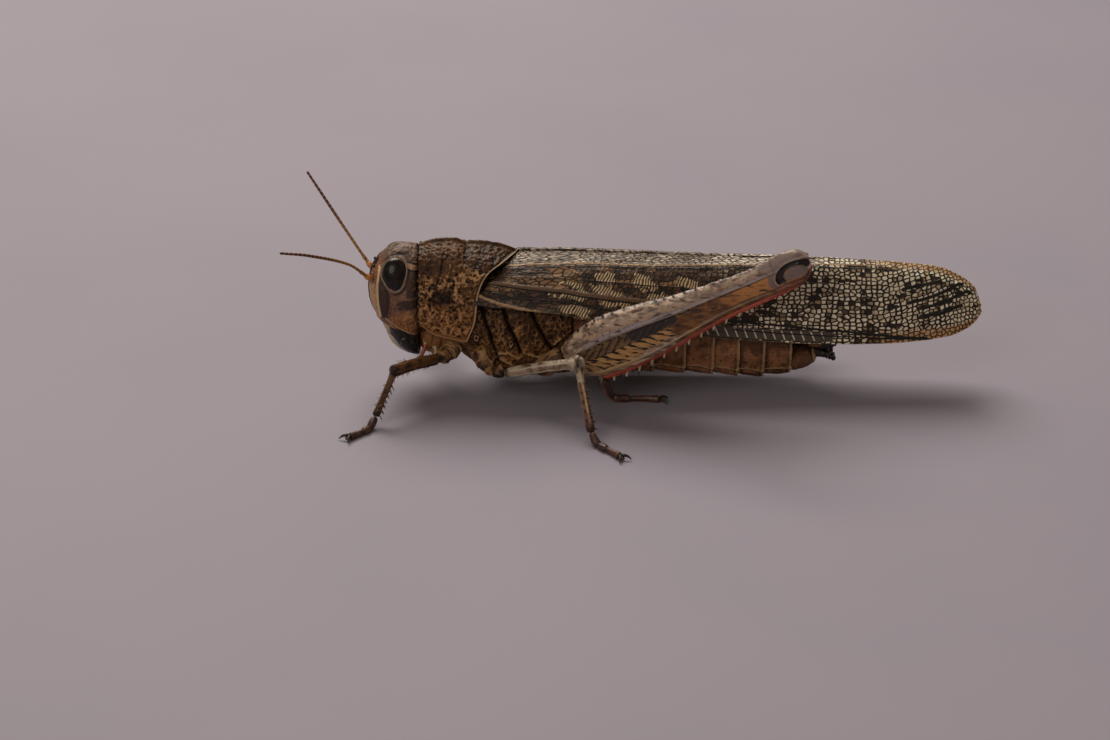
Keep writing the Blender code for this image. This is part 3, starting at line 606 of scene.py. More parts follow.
def head_relief(p):
    """Height in mm of the head's keels, rims and furrows, and the fields of its markings."""
    x, y, z = p[..., 0], np.abs(p[..., 1]), p[..., 2]
    beside = step(y, 1.0, 1.6)
    keel_at = smooth([(8.0, 0.80), (11.0, 0.66), (13.4, 0.42), (14.4, 0.35)], z)[0]
    keel = hump(y - keel_at, 0.14) * window(z, 7.8, 8.4, 13.7, 14.2) * step(x, 2.2, 1.4)
    trough = step(keel_at - y, 0.0, 0.3) * step(z, 14.0, 13.0)
    face_edge = from_line(x, z, FACE_EDGE)
    cheek_line = from_line(x, z, CHEEK_LINE)
    crown_edge = from_line(x, z, CROWN_EDGE)
    jaw_edge = from_line(x, z, JAW_EDGE)
    socket = length_of(np.stack([x, y, z], -1) - SOCKET)
    reach = (eye_reach(p) - 1) * 1.25
    dash = from_line(x, z, [(3.15, 14.55), (4.22, 14.50)])
    net = wrinkles(p, 0.42, 7) * step(x, 1.9, 2.6) * step(reach, 0.25, 0.5)
    ragged_z = z + 0.5 * grain(p, 0.9, 10)
    height = (0.12 * keel - 0.06 * trough
              + beside * (0.10 * hump(face_edge, 0.13) + 0.05 * hump(cheek_line, 0.10)
                          - 0.07 * hump(cheek_line - 0.22, 0.12) * (x < 2.5)
                          + 0.07 * hump(crown_edge, 0.12) - 0.06 * hump(crown_edge - 0.3, 0.15))
              + 0.08 * hump(jaw_edge, 0.14)
              + 0.11 * hump(socket - 0.5, 0.11) - 0.14 * step(socket, 0.42, 0.25)
              + 0.13 * hump(reach - 0.06, 0.065) - 0.07 * hump(reach - 0.27, 0.12)
              - 0.05 * hump(dash, 0.10)
              + 0.03 * grain(p, 0.7, 3) + 0.014 * grain(p, 0.25, 4)
              + net * (0.05 + 0.03 * step(z, 13.4, 14.0)))
    edge_x = across_at(FACE_EDGE, z)
    line_x = across_at(CHEEK_LINE, z)
    behind_eye = from_line(x, z, [(4.0, 13.68), (5.5, 13.18)])
    marks = {
        "face_band": step(edge_x - x, -0.03, 0.06) * step(ragged_z, 12.2, 11.0) * step(y, 0.6, 0.9),
        "socket_area": step(edge_x - x, -0.03, 0.1) * step(ragged_z, 10.9, 12.1)
                       * step(z, 13.9, 13.3),
        # Darkens the trough between the keels of the face, as painted shade.
        "furrow": 0.85 * step(y - keel_at + 0.12 * grain(p, 0.9, 9), 0.35, 0.0)
                  * band(z, 9.4, 14.0, 1.0) * step(x, 1.7, 1.0),
        "cheek_stripe": beside * band(x, edge_x + 0.1, line_x - 0.06, 0.05) * band(z, 8.4, 12.7),
        "cheek_low": step(x - line_x, 0.0, 0.3) * step(z + 0.3 * grain(p, 1.0, 8), 10.0, 7.6),
        "cheek_patch": step(from_line(x, z, [(3.5, 9.75), (5.2, 9.9)]), 0.75, 0.35),
        "temple": step(x, 3.7, 4.2) * band(z, 10.5, 13.4) + beside * step(reach, 0.35, 0.2)
                  * step(z, 12.0, 11.4) * step(x, 2.4, 2.8),
        "crown": step(z, 13.7, 14.1) * step(x, 0.9, 1.6),
        "eye_stripe": step(behind_eye, 0.24, 0.15) * beside,
        "pale_edge": unit(beside * (hump(face_edge, 0.11) + 0.3 * hump(cheek_line, 0.09)
                                       + 0.9 * hump(crown_edge, 0.09) * (x < 2.3))
                             + 0.6 * hump(jaw_edge, 0.12) * step(x, 1.5, 2.0)),
        "rim": hump(reach - 0.06, 0.075),
        # Wrinkle crests, painted pale as a painted highlight.
        "ridge": net,
        "dark_line": unit(
            0.8 * hump(y - keel_at - 0.1, 0.12) * step(z, 8.3, 9.0) * step(x, 1.5, 1.0)
            + hump(np.hypot(x - 0.75, z - 13.35), 0.22)
            + hump(dash, 0.09)
            + beside * (hump(behind_eye - 0.3, 0.07) * step(x, 3.9, 4.2)
                        + hump(reach - 0.22, 0.09) * step(z, 13.7, 14.0) * step(x, 3.4, 3.0))
            + step(x, 5.02, 5.12) + hump(socket - 0.66, 0.06) * 0.8
            + step(socket, 0.3, 0.2)),
    }
    return height, marks


def make_head(finish):
    """The capsule, closed over the crown by rings that shrink to a point."""
    rings = tilted_rings(HEAD_LEVELS, np.linspace(0, 1, 120), 300,
                         back_squareness=HEAD_BACK_SQUARENESS)
    top = rings[-1]
    hub = top.mean(axis=0)
    shrink = np.cos(np.linspace(0, math.pi / 2, 12)[1:-1])
    dome = [hub + (top - hub) * s + (0, 0, 0.12 * (1 - s)) for s in shrink]
    grid = np.vstack([rings, dome])
    height, marks = head_relief(grid)
    fade = np.ones(len(grid))
    fade[-len(dome):] = shrink
    loft("head_capsule", raised(grid, height * fade[:, None]), finish, marks,
         nodes=("head",), slot="head_shell")


def make_eye(side, word, finish):
    """An egg-shaped eye, leaning, with its rim paler where it meets the head."""
    polar = np.linspace(0.02, math.pi - 0.02, 60)[:, None]
    turn = turns(80)
    level = -np.cos(polar)
    girth = np.sin(polar) * (1 + EYE_TAPER * level)
    away = np.stack([EYE_HALF[0] * girth * np.cos(turn), EYE_HALF[1] * girth * np.sin(turn),
                     EYE_HALF[2] * level * np.ones_like(turn)], -1)
    tilt = np.array(Matrix.Rotation(EYE_LEAN * side, 3, "X"))
    grid = mirrored(EYE_CENTRE, side) + away @ tilt.T
    rim = step(np.abs(away[..., 1]) / EYE_HALF[1], 0.5, 0.2)
    loft("compound_eye_" + word, grid, finish, {"rim": rim},
         nodes=("eye_" + word,), slot="eye")


def make_ocelli(finish):
    """Three small simple eyes: one between the keels, one above each feeler."""
    for word, centre in (("front", (0.14, 0.0, 11.6)),
                         ("left", (0.72, -0.95, 13.05)),
                         ("right", (0.72, 0.95, 13.05))):
        path = [np.array(centre) + (0.12, 0, 0), np.array(centre) - (0.10, 0, 0.02)]
        grid = limb_grid(path, [(0, 0.15, 0.17), (1, 0.15, 0.17)], 4, 20, dome=1.0)[0]
        loft("ocellus_" + word, grid, finish, slot="eye")


ANTENNA_PATHS = {
    "left": [(0.55, -1.3, 11.85), (0.2, -1.45, 12.0), (-1.6, -2.7, 13.9), (-5.2, -5.5, 16.0),
             (-7.9, -7.0, 16.9)],
    "right": [(0.6, 1.3, 11.9), (0.2, 1.45, 12.1), (-2.2, 3.0, 15.2), (-6.1, 5.9, 20.3)],
}


ANTENNA_SEGMENTS = 24
ANTENNA_RADII = [(0.0, 0.27, 0.27), (0.05, 0.30, 0.30), (0.085, 0.17, 0.17), (0.12, 0.19, 0.19),
                 (0.16, 0.145, 0.145), (0.6, 0.155, 0.155), (1.0, 0.12, 0.12)]


def nearness(value, width):
    """1 where value passes a whole number, falling off over width."""
    return hump((value + 0.5) % 1 - 0.5, width)


def make_antenna(word, finish):
    """Twenty-odd segments after a stout first joint and a short second one."""
    grid, share, _ = limb_grid(ANTENNA_PATHS[word], ANTENNA_RADII, 264, 16)
    segment = share * ANTENNA_SEGMENTS
    pinch = -0.016 * nearness(segment, 0.12) * step(share, 0.12, 0.15)
    marks = {"segment": segment, "outer": step(share, 0.1, 0.9), "base": step(share, 0.09, 0.05)}
    loft("feeler_" + word, raised(grid, pinch), finish, marks,
         nodes=("antenna_" + word,), slot="antenna")


# Share of the way down, x and z of the middle, half width
LABRUM = [(0.0, 1.0, 7.95, 2.0), (0.3, 1.40, 6.65, 1.95), (0.42, 1.64, 6.0, 1.90),
          (0.7, 2.25, 4.65, 1.75), (0.92, 3.15, 3.84, 1.35), (1.0, 3.75, 3.62, 1.0)]
LABRUM_CREASE = 0.42


def make_labrum(finish):
    """The clypeus and, below a crease, the notched upper lip."""
    share = np.linspace(0, 1, 60)[:, None]
    s = np.linspace(1, -1, 61)[None, :]
    x, z, half_width = smooth(LABRUM, share)
    x = x + 0.85 * s * s - 0.10 * hump(s, 0.3) * step(share, 0.7, 1.0)
    crease = hump(share - LABRUM_CREASE - 0.03 * s * s, 0.025)
    fold = 0.5 * hump(s, 0.12) * step(share, 0.45, 0.6)
    outward = np.array((-0.8, 0, -0.35))
    grid = np.stack([x, half_width * s, z + 0 * s], -1)
    relief = -0.12 * crease - 0.1 * fold + 0.02 * grain(grid, 0.4, 8)
    plate("clypeus_and_labrum", grid + outward * relief[..., None], np.array((0.28, 0, 0.12)),
          finish, {"dark_line": unit(crease + 0.6 * fold)}, nodes=("labrum",), slot="mouth_shell")


# Level, x and z in front, x and z behind, half width, distance from the middle
MANDIBLE_LEVELS = [(0.0, 1.95, 7.7, 4.95, 6.35, 1.05, 2.00),
                   (0.35, 2.30, 6.25, 5.15, 5.20, 1.20, 1.85),
                   (0.75, 3.25, 4.70, 5.20, 4.10, 1.00, 1.50),
                   (1.0, 4.20, 4.05, 5.05, 3.72, 0.60, 1.15)]


def make_mandible(side, word, finish):
    """A jaw with fine ribs in front and a round boss at its hinge."""
    level = np.linspace(0, 1, 60)
    rings = tilted_rings([row[:6] for row in MANDIBLE_LEVELS], level, 96, squareness=2.4)
    offset = smooth([(row[0], row[6]) for row in MANDIBLE_LEVELS], level)[0]
    rings[..., 1] += offset[:, None] * side
    x, z = rings[..., 0], rings[..., 2]
    boss = np.hypot(x - 3.68, z - 5.74)
    relief = (0.10 * step(boss, 0.5, 0.3) - 0.06 * hump(boss - 0.5, 0.08)
              + 0.025 * np.sin((x * 0.75 + z * 0.65) * 16) * step(boss, 0.5, 0.8) * step(x, 3.9, 3.3))
    marks = {"boss": step(boss, 0.6, 0.4)}
    loft("jaw_" + word, raised(rings, relief), finish, marks,
         nodes=("mandible_" + word,), slot="jaw")


LABIUM_RADII = [(0, 1.9, 0.3), (0.7, 1.6, 0.3), (1, 1.1, 0.24)]
PALP_RADII = [(0, 0.2, 0.2), (0.8, 0.2, 0.2), (1, 0.24, 0.24)]
PALP_PATHS = {"palp": ((5.6, 2.0, 6.0), (5.7, 2.5, 5.2), (5.45, 2.8, 4.5), (5.1, 2.85, 3.8)),
              "lip_palp": ((6.2, 2.1, 5.2), (6.7, 2.75, 5.0), (6.75, 2.9, 4.3))}


def make_mouth_underside(finish):
    """The lower lip, the jaws' palps and the lip's own shorter palps."""
    grid = limb_grid([(5.35, 0, 6.6), (5.3, 0, 4.1)], LABIUM_RADII, 30, 60)[0]
    loft("lower_lip", raised(grid, 0.03 * grain(grid, 0.5, 9)), finish,
         {"dark_line": hump(grid[..., 1], 0.08)}, nodes=("labium",), slot="mouth_shell")
    for (side, word), (kind, path) in itertools.product(SIDES, PALP_PATHS.items()):
        grid, share, _ = limb_grid(mirrored(path, side), PALP_RADII, 60, 16)
        joints = nearness(share * 4, 0.1) * step(share, 0.1, 0.2)
        links = {"nodes": ("palp_" + word,)} if kind == "palp" else {}
        loft("%s_%s" % (kind, word), raised(grid, -0.04 * joints), finish,
             {"red": step(share, 0.2, 0.5) * (kind == "palp")}, slot="mouth_shell", **links)


# ---- Pronotum, thorax and abdomen ----

def sclerite_finish(name, dark, ground, pale):
    """Thick cuticle of the body wall, cast in a net of wrinkles and pits as it hardened. The
    crests are painted pale as a painted highlight, and the pits and furrows dark as painted
    shade. The shade coat darkens parts that lie under other parts, as painted shade, and also
    parts whose own colour is darker."""
    material, tree, mm = start_finish(name, 0.42, Specular_IOR_Level=0.15)
    cloud = mottle(tree, mm, 1.3)
    fine = mottle(tree, mm, 0.18, detail=4.0)
    pits = add(tree, "TexVoronoi", {"Vector": mm, "Scale": 1 / 0.3}).outputs["Distance"]
    return end_finish(material, ground, [
        (cloud, 0.45, 0.7, dark),
        (("tan", cloud, 0.9), 0.2, 0.9, "#8e6038"),
        (("shade", cloud, 0.9), 0.25, 0.85, dark),
        # Pits and furrows painted dark: painted shade.
        (("hollow", fine, 0.6), 0.35, 0.95, "#20140d"),
        # Crests painted pale, mostly as a painted highlight; raised folds and the pale band of the
        # saddle are their own colour.
        (("ridge", cloud, 0.9), 0.35, 1.0, pale),
        (fine, 0.55, 0.78, dark),
        (("pale_edge", fine, 0.4), 0.35, 0.75, "#b79a72"),
        # Dark dots in the pits: painted shade.
        (pits, 0.2, 0.05, "#1a110c"),
        (("dark_line", fine, 0.3), 0.35, 0.6, "#120d0b"),
    ], [(pits, 0.03), (fine, 0.035)])


# x, crest z, shoulder y and z, side y and z, lower margin y and z
PRONOTUM = [
    (5.20, 14.75, 2.20, 13.85, 3.35, 10.5, 3.60, 7.90),
    (6.60, 15.30, 2.45, 14.15, 3.70, 10.5, 3.85, 6.90),
    (8.60, 15.45, 2.60, 14.15, 4.00, 10.5, 4.05, 6.40),
    (9.60, 15.15, 2.70, 13.95, 4.10, 10.6, 4.10, 6.20),
    (11.0, 15.15, 3.00, 13.8, 4.30, 10.8, 4.25, 6.60),
    (13.0, 14.90, 3.10, 13.5, 4.40, 10.9, 4.30, 8.00),
    (14.9, 14.25, 3.20, 13.0, 4.50, 10.9, 4.40, 9.00),
]
PRONOTUM_FRONT = 5.22
PRONOTUM_DEPTH = 11.0               # from the crest down its side to the lower margin
MIDDLE_CUT = 9.75                   # the cross furrow that splits the crest
PRONOTUM_REAR = [(0.0, 14.9), (0.25, 13.3), (0.42, 11.9), (0.6, 11.1), (0.85, 10.7), (1.0, 9.9)]
PROFILE = np.column_stack([(0.0, 0.33, 0.66, 1.0), np.eye(4)])


def pronotum_points(x, s):
    """Places on the saddle, s from 0 at the crest to 1 at the right margin."""
    crest, shoulder_y, shoulder_z, side_y, side_z, low_y, low_z = smooth(PRONOTUM, x)
    w = smooth(PROFILE, np.abs(s))
    y = w[1] * shoulder_y + w[2] * side_y + w[3] * low_y
    z = w[0] * crest + w[1] * shoulder_z + w[2] * side_z + w[3] * low_z
    return np.stack(np.broadcast_arrays(x, np.copysign(y, s), z), -1)


def wrinkles(p, size, seed):
    """Crooked ridges about size mm apart, 1 on their crests."""
    warped = p + 0.3 * size * np.stack([grain(p, size, seed + k) for k in (5, 6, 7)], -1)
    return unit(1.08 - 5.0 * np.abs(grain(warped, size, seed)))


SULCI = [[(9.85, 15.6), (9.7, 14.2), (9.2, 13.1)], [(8.9, 13.2), (8.65, 12.2), (8.6, 9.6)],
         [(7.6, 14.6), (7.4, 13.2), (6.9, 11.9), (6.6, 11.2)], [(6.1, 12.6), (6.3, 11.0), (6.2, 9.3)]]
SADDLE_RIDGES = [[(8.2, 13.9), (8.1, 13.0), (7.6, 12.3), (7.3, 11.6)],
                 [(8.7, 13.3), (9.4, 12.9), (11.4, 12.7)],
                 [(9.2, 13.6), (10.6, 13.2), (12.4, 12.9)], [(8.9, 12.6), (9.0, 11.6), (8.8, 10.6)]]


def make_pronotum(finish):
    """The saddle: a net of ridges round pits, crossed by furrows, with a beaded margin."""
    share = np.linspace(0, 1, 118)[:, None]
    s = np.linspace(1, -1, 251)[None, :]
    rear = smooth(PRONOTUM_REAR, np.abs(s))[0]
    length = rear - PRONOTUM_FRONT
    p = pronotum_points(PRONOTUM_FRONT + length * share, s)
    x, y, z = p[..., 0], np.abs(p[..., 1]), p[..., 2]
    net = np.maximum(wrinkles(p, 0.42, 21), 0.9 * wrinkles(p, 0.26, 31))
    hole = dots(p, 0.42, 41)
    pit = hump(hole, 0.24)
    cup = step(hole, 0.42, 0.62)
    crest = hump(p[..., 1], 0.15) * (1 - 0.9 * hump(x - 9.85, 0.12))
    cuts = sum(hump(from_line(x, z, line), 0.11) * (y > 0.3) for line in SULCI)
    cuts = unit(cuts + hump(x - MIDDLE_CUT, 0.12) * step(y, 2.7, 2.2))
    bent = 0.14 * grain(p, 0.6, 43)
    folds = unit(sum(hump(from_line(x + bent, z + bent, line), 0.16) for line in SADDLE_RIDGES))
    to_rear = (1 - share) * length
    to_low = (1 - np.abs(s)) * PRONOTUM_DEPTH
    edge = np.minimum(to_rear, to_low)
    bead = hump(edge - 0.09, 0.10)
    calm = step(edge, 0.1, 0.45) * (0.25 + 0.75 * step(y, 0.1, 0.6))
    disc = step(z, 12.4, 13.2)
    height = (0.17 * crest - 0.10 * cuts + 0.10 * folds
              + calm * (0.11 * net - 0.11 * pit + 0.05 * cup) * (1 - 0.2 * disc)
              + 0.05 * calm * grain(p, 0.24, 52)
              + 0.06 * bead - 0.05 * hump(edge - 0.35, 0.12) + 0.12 * step(share, 0.06, 0.0)
              + 0.03 * grain(p, 1.2, 51))
    patch = band(x, 6.3, 8.5, 0.35) * band(z, 10.0, 11.5, 0.5)
    marks = {
        # The crests of the net are painted pale as a painted highlight; the raised folds and the band
        # along the disc are pale in their own colour. The pits, the furrows and the low parts of the
        # net are painted dark as painted shade.
        "ridge": unit(calm * (0.85 * net + 0.15 * cup + 0.55 * folds) * (1 - 0.45 * disc)
                         * (1 - 0.5 * patch) - 0.6 * pit
                         + 0.25 * band(z, 12.6, 13.6, 0.3) * (x > 8.5)),
        "hollow": unit(calm * (0.9 * pit + 0.7 * step(net, 0.25, 0.0)) * (1 - 0.35 * disc)
                       + 0.8 * cuts - 0.6 * folds),
        "shade": unit(0.8 * patch + disc * (0.35 + 0.25 * step(x, 9.3, 10.2))
                      + 0.2 * step(x, 8.9, 6.0) * step(z, 11.8, 12.6)),
        "tan": 0.85 * step(z, 11.6, 8.2) + 0.25,
        "pale_edge": bead * np.where(to_rear < to_low, 0.85, 0.6),
        "dark_line": unit(step(to_rear, 0.055, 0.03) + 0.6 * hump(edge - 0.3, 0.08)
                             + 0.6 * step(share, 0.012, 0.0)
                             + 0.5 * hump(y - 0.25, 0.07) * (z > 13)),
    }
    normal = grid_normals(p, False)
    normal *= np.sign((normal * (p - (9.0, 0, 9.0))).sum(-1, keepdims=True))
    plate("saddle", p + normal * height[..., None], -0.22 * normal, finish, marks,
          nodes=("pronotum",), slot="pronotum")


# x, belly z, back z, half width
TRUNK = [
    (5.5, 5.70, 13.2, 2.70), (7.5, 4.90, 13.8, 3.05), (9.4, 3.50, 13.4, 3.20),
    (11.3, 2.1, 12.8, 3.85), (13.5, 1.40, 12.7, 4.25), (16.0, 1.25, 12.6, 4.25),
    (18.2, 1.3, 12.2, 4.15), (20.0, 1.5, 11.0, 3.80), (23.0, 1.70, 9.90, 3.60),
    (27.0, 1.55, 9.50, 3.50), (33.0, 1.3, 9.10, 3.40), (38.5, 0.95, 8.4, 3.15),
    (41.8, 1.30, 7.70, 2.60), (43.2, 2.00, 7.00, 2.10),
]
BACK_POWER = 0.82
SEAM_LEVEL = -0.74                  # of the belly's side seam, -1 is its lowest line
RING_TUCK = 0.1                     # each ring begins this far inside the one before it
RING_OVERLAP = 0.3
ABDOMEN_CUTS = [19.8, 22.1, 25.0, 28.1, 31.2, 34.0, 36.5, 39.0, 41.7]


def trunk_rings(x, count, inset=0.0):
    """Rings of the trunk at each x, with each point's height from -1 at the belly to 1."""
    belly, back, half_width = smooth(TRUNK, x)[:, :, None]
    inset = np.broadcast_to(inset, x.shape)[:, None]
    turn = turns(count)
    power = np.where(np.sin(turn) > 0, BACK_POWER, 1.0)
    y = -(half_width - inset) * bulge(np.cos(turn), power)
    level = bulge(np.sin(turn), power)
    z = (belly + back) / 2 + ((back - belly) / 2 - inset) * level
    return np.stack(np.broadcast_arrays(x[:, None], y, z), -1), level + 0 * x[:, None]


SUTURES = [[(11.18, 10.3), (11.85, 7.90), (12.51, 5.53), (12.9, 4.2)],
           [(13.33, 10.2), (13.90, 8.27), (14.63, 6.66), (15.2, 5.0)],
           [(16.06, 9.8), (16.84, 7.84), (17.81, 6.12), (18.6, 4.6)]]
PLEURAL_RIDGES = [[(18.30, 6.07), (19.28, 7.15)],
                  [(11.9, 5.4), (12.9, 4.9), (13.9, 5.2), (15.0, 4.5)],
                  [(12.2, 4.5), (13.3, 4.3), (14.4, 3.7)], [(15.6, 5.2), (16.8, 4.6), (17.9, 5.0)]]
SPIRACLES = [(14.18, 6.2), (10.9, 6.6)]


def make_thorax(finish):
    """The walls of all three thoracic segments, one box of plates joined at sutures."""
    p = trunk_rings(np.linspace(5.0, 20.0, 190), 300)[0]
    x, z = p[..., 0], p[..., 2]
    flank = step(np.abs(p[..., 1]), 1.2, 2.2)
    well = dots(p, 0.52, 63)
    net = np.maximum(0.8 * wrinkles(p, 0.34, 62), hump(well - 0.55, 0.16))
    pit = hump(well, 0.36)
    bent = 0.10 * grain(p, 0.8, 65)
    suture = np.min([from_line(x + bent, z, line) for line in SUTURES], axis=0)
    cuts = hump(suture, 0.15) * flank
    folds = sum(hump(from_line(x + bent, z + bent, line), 0.17) for line in PLEURAL_RIDGES)
    folds = unit(folds) * flank
    hole = np.minimum(*[np.hypot((x - a) / 0.6, z - b) for a, b in SPIRACLES]) + 9 * (flank < 0.5)
    height = (0.11 * net - 0.12 * pit - 0.34 * cuts + 0.26 * folds + 0.08 * grain(p, 1.2, 64)
              + 0.10 * hump(hole - 0.3, 0.11) - 0.12 * step(hole, 0.22, 0.1)
              + 0.30 * (1 - hump(suture, 0.8)) * flank * step(z, 4.6, 6.0))
    marks = {
        # The crests and folds are painted pale as a painted highlight, the pits and sutures dark as
        # painted shade. The upper part and the front, which lie under the pronotum and the wings, are
        # darker as painted shade.
        "ridge": unit(0.75 * net + 0.6 * folds - 0.5 * pit - cuts),
        "hollow": unit(0.95 * pit + cuts),
        "shade": unit(0.75 * step(z, 8.4, 9.8) + 0.6 * cuts + 0.3 * step(x, 10.8, 9.5)),
        "tan": step(z, 8.5, 4.5) * 0.35 + 0.15,
        "pale_edge": unit(0.65 * folds * step(z, 7.5, 6.0) + 0.8 * hump(hole - 0.26, 0.09)),
        "dark_line": unit(step(hole, 0.2, 0.1) + hump(hole - 0.5, 0.07) + 0.6 * cuts),
    }
    loft("thorax_walls", raised(p, height), finish, marks,
         nodes=("prothorax", "mesothorax", "metathorax"), slot="thorax")


def make_throat(finish):
    """Soft skin and the small breast plate between the head and the front hips."""
    p, share, _ = limb_grid([(5.0, 0, 5.9), (6.8, 0, 5.6), (9.6, 0, 5.2)],
                            [(0, 2.3, 1.6), (0.35, 2.8, 2.1), (1, 3.1, 2.2)], 70, 150, dome=0.3)
    net = wrinkles(p * (1.8, 1, 1), 0.5, 67)
    crease = hump((share * 5) % 1 - 0.5, 0.12)
    loft("throat_skin", raised(p, 0.07 * net - 0.10 * crease), finish,
         # Wrinkle crests painted pale as a painted highlight, creases dark as painted shade.
         {"ridge": 0.5 * net, "hollow": 0.7 * crease, "shade": 0.2, "tan": 0.75}, slot="thorax")


def make_abdomen(finish):
    """Eight rings, each hind edge lying over the start of the next ring."""
    for number, (start, end) in enumerate(zip(ABDOMEN_CUTS, ABDOMEN_CUTS[1:]), start=1):
        length = end - start
        share = np.concatenate([np.linspace(0, 1, 40), [1.0, 1.0]])
        x = start - RING_TUCK + (length + RING_OVERLAP) * share
        inset = smooth([(0, 0.34), (0.12, 0.24), (0.45, 0.10), (0.85, 0.0), (1, 0.03)], share)[0]
        inset[-2:] = (0.12, 0.3)
        p, level = trunk_rings(x, 260, inset)
        p[-1, :, 0] -= 0.1
        to_edge = ((1 - share) * (length + RING_OVERLAP))[:, None]
        seam = level - SEAM_LEVEL - 0.08 * np.cos((share[:, None] - 0.5) * math.pi)
        net = wrinkles(p, 0.5, 70 + number)
        pit = hump(dots(p, 0.35, 71), 0.3)
        height = (0.05 * net - 0.03 * pit + 0.04 * grain(p, 1.0, 72)
                  - 0.22 * hump(seam, 0.05) + 0.10 * hump(seam - 0.1, 0.05)
                  + 0.10 * hump(p[..., 1], 0.12) * (level > 0.5)
                  + 0.03 * hump(to_edge - 0.25, 0.15))
        height[-2:] = 0
        spiracle = np.hypot(p[..., 0] - start - 0.35 * length, (level + 0.36) * 3.6)
        marks = {
            # Wrinkle crests painted pale as a painted highlight, pits dark as painted shade.
            "ridge": 0.6 * net, "hollow": 0.5 * pit,
            "shade": unit(0.6 * step(to_edge, length * 0.75, length) + 0.5 * step(level, -0.1, 0.4)
                          + 0.5 * (number > 6) + 0.35 * step(grain(p, 1.6, 73), 0.25, 0.6)
                          + 0.36 * step(seam, -0.04, -0.2)),
            "tan": 0.2 * band(level, -0.5, -0.1, 0.2) + 0.2,
            "pale_edge": unit(step(to_edge, 0.34, 0.14) * 0.62 + 0.7 * hump(seam - 0.09, 0.07)
                                 + 0.4 * hump(spiracle - 0.16, 0.06)),
            "dark_line": unit(0.9 * hump(seam, 0.03) + 0.55 * hump(to_edge - 0.38, 0.09)
                                 + step(spiracle, 0.12, 0.06)),
        }
        loft("belly_ring_%d" % number, raised(p, height), finish, marks,
             nodes=("abdomen_%d" % number,), slot="abdomen")


# Path and radii of the plates over and under the end
TAIL_PLATES = {
    ("tail_shield", "epiproct"): (
        [(41.5, 0, 6.1), (45.1, 0, 5.5)],
        [(0, 2.45, 1.45), (0.6, 1.6, 1.0), (0.9, 1.1, 0.7), (1, 0.8, 0.5)]),
    ("tail_keel_plate", "subgenital_plate"): (
        [(41.5, 0, 2.9), (44.6, 0, 3.3)],
        [(0, 2.45, 1.4), (0.6, 1.75, 1.2), (0.9, 1.3, 0.8), (1, 1.0, 0.6)]),
}
VALVE_RADII = [(0, 0.42, 0.5), (0.4, 0.40, 0.46), (0.8, 0.30, 0.30), (1, 0.08, 0.08)]
VALVES = {
    "upper": [(43.9, 0.5, 4.5), (45.7, 0.55, 4.25), (46.6, 0.5, 4.6)],
    "lower": [(44.0, 0.5, 3.6), (45.7, 0.55, 3.25), (46.5, 0.45, 2.6)],
}
CERCUS = [(43.6, 1.5, 5.0), (44.8, 1.95, 4.9)]
CERCUS_RADII = [(0, 0.4, 0.4), (0.7, 0.25, 0.25), (1, 0.1, 0.1)]


def make_tail(finish, horn):
    """The end plates, the two pairs of digging prongs and the two feelers of the tail."""
    for (name, node), (path, radii) in TAIL_PLATES.items():
        p, share, _ = limb_grid(path, radii, 60, 150, dome=0.4)
        net = wrinkles(p, 0.45, 81)
        rim = hump(share - 0.88, 0.08)
        middle = hump(p[..., 1], 0.1)
        # Wrinkle crests painted pale as a painted highlight, the groove along the middle dark as
        # painted shade.
        marks = {"ridge": 0.6 * net, "hollow": 0.6 * middle, "shade": 0.35, "tan": 0.35,
                 "pale_edge": rim, "dark_line": hump(share - 0.82, 0.03)}
        loft(name, raised(p, 0.05 * net + 0.05 * rim - 0.06 * middle), finish, marks,
             nodes=(node,), slot="abdomen")
    for side, word in SIDES:
        for row, path in VALVES.items():
            p, share, _ = limb_grid(mirrored(path, side), VALVE_RADII, 40, 32)
            teeth = 0.07 * np.sin(share * 44) * step(share, 0.4, 0.7)
            loft("digging_valve_%s_%s" % (row, word), raised(p, teeth + 0.05 * grain(p, 0.3, 5)),
                 horn, nodes=("ovipositor_%s_%s" % (row, word),), slot="ovipositor")
        cercus = limb_grid(mirrored(CERCUS, side), CERCUS_RADII, 16, 20)[0]
        loft("cercus_" + word, cercus, finish, {"ridge": 0.3, "shade": 0.3, "tan": 0.6},
             slot="abdomen")


# ---- Wings ----

PALE_VEIN_SPACING = 0.27
RUNG_SPACING = 0.92


def wing_cells(tree, across, length, width, slant=0.0, disorder=0.75):
    """A net of wing cells, length by width in mm: (distance from the veins, a tone per cell)."""
    along = "along"
    if slant:
        along = add(tree, "Math", {0: across, 1: slant, 2: along}, operation="MULTIPLY_ADD")
    spot = add(tree, "CombineXYZ", {"X": along, "Y": across})
    size = (1 / length, 1 / width, 1)
    spot = add(tree, "VectorMath", {0: spot, 1: size}, operation="MULTIPLY")
    net = {"Vector": spot, "Scale": 1.0, "Randomness": disorder}
    border, cell = [add(tree, "TexVoronoi", net, feature=feature, voronoi_dimensions="2D")
                    for feature in ("DISTANCE_TO_EDGE", "F1")]
    tone = add(tree, "SeparateColor", {0: cell.outputs["Color"]}).outputs[0]
    return border.outputs["Distance"], tone


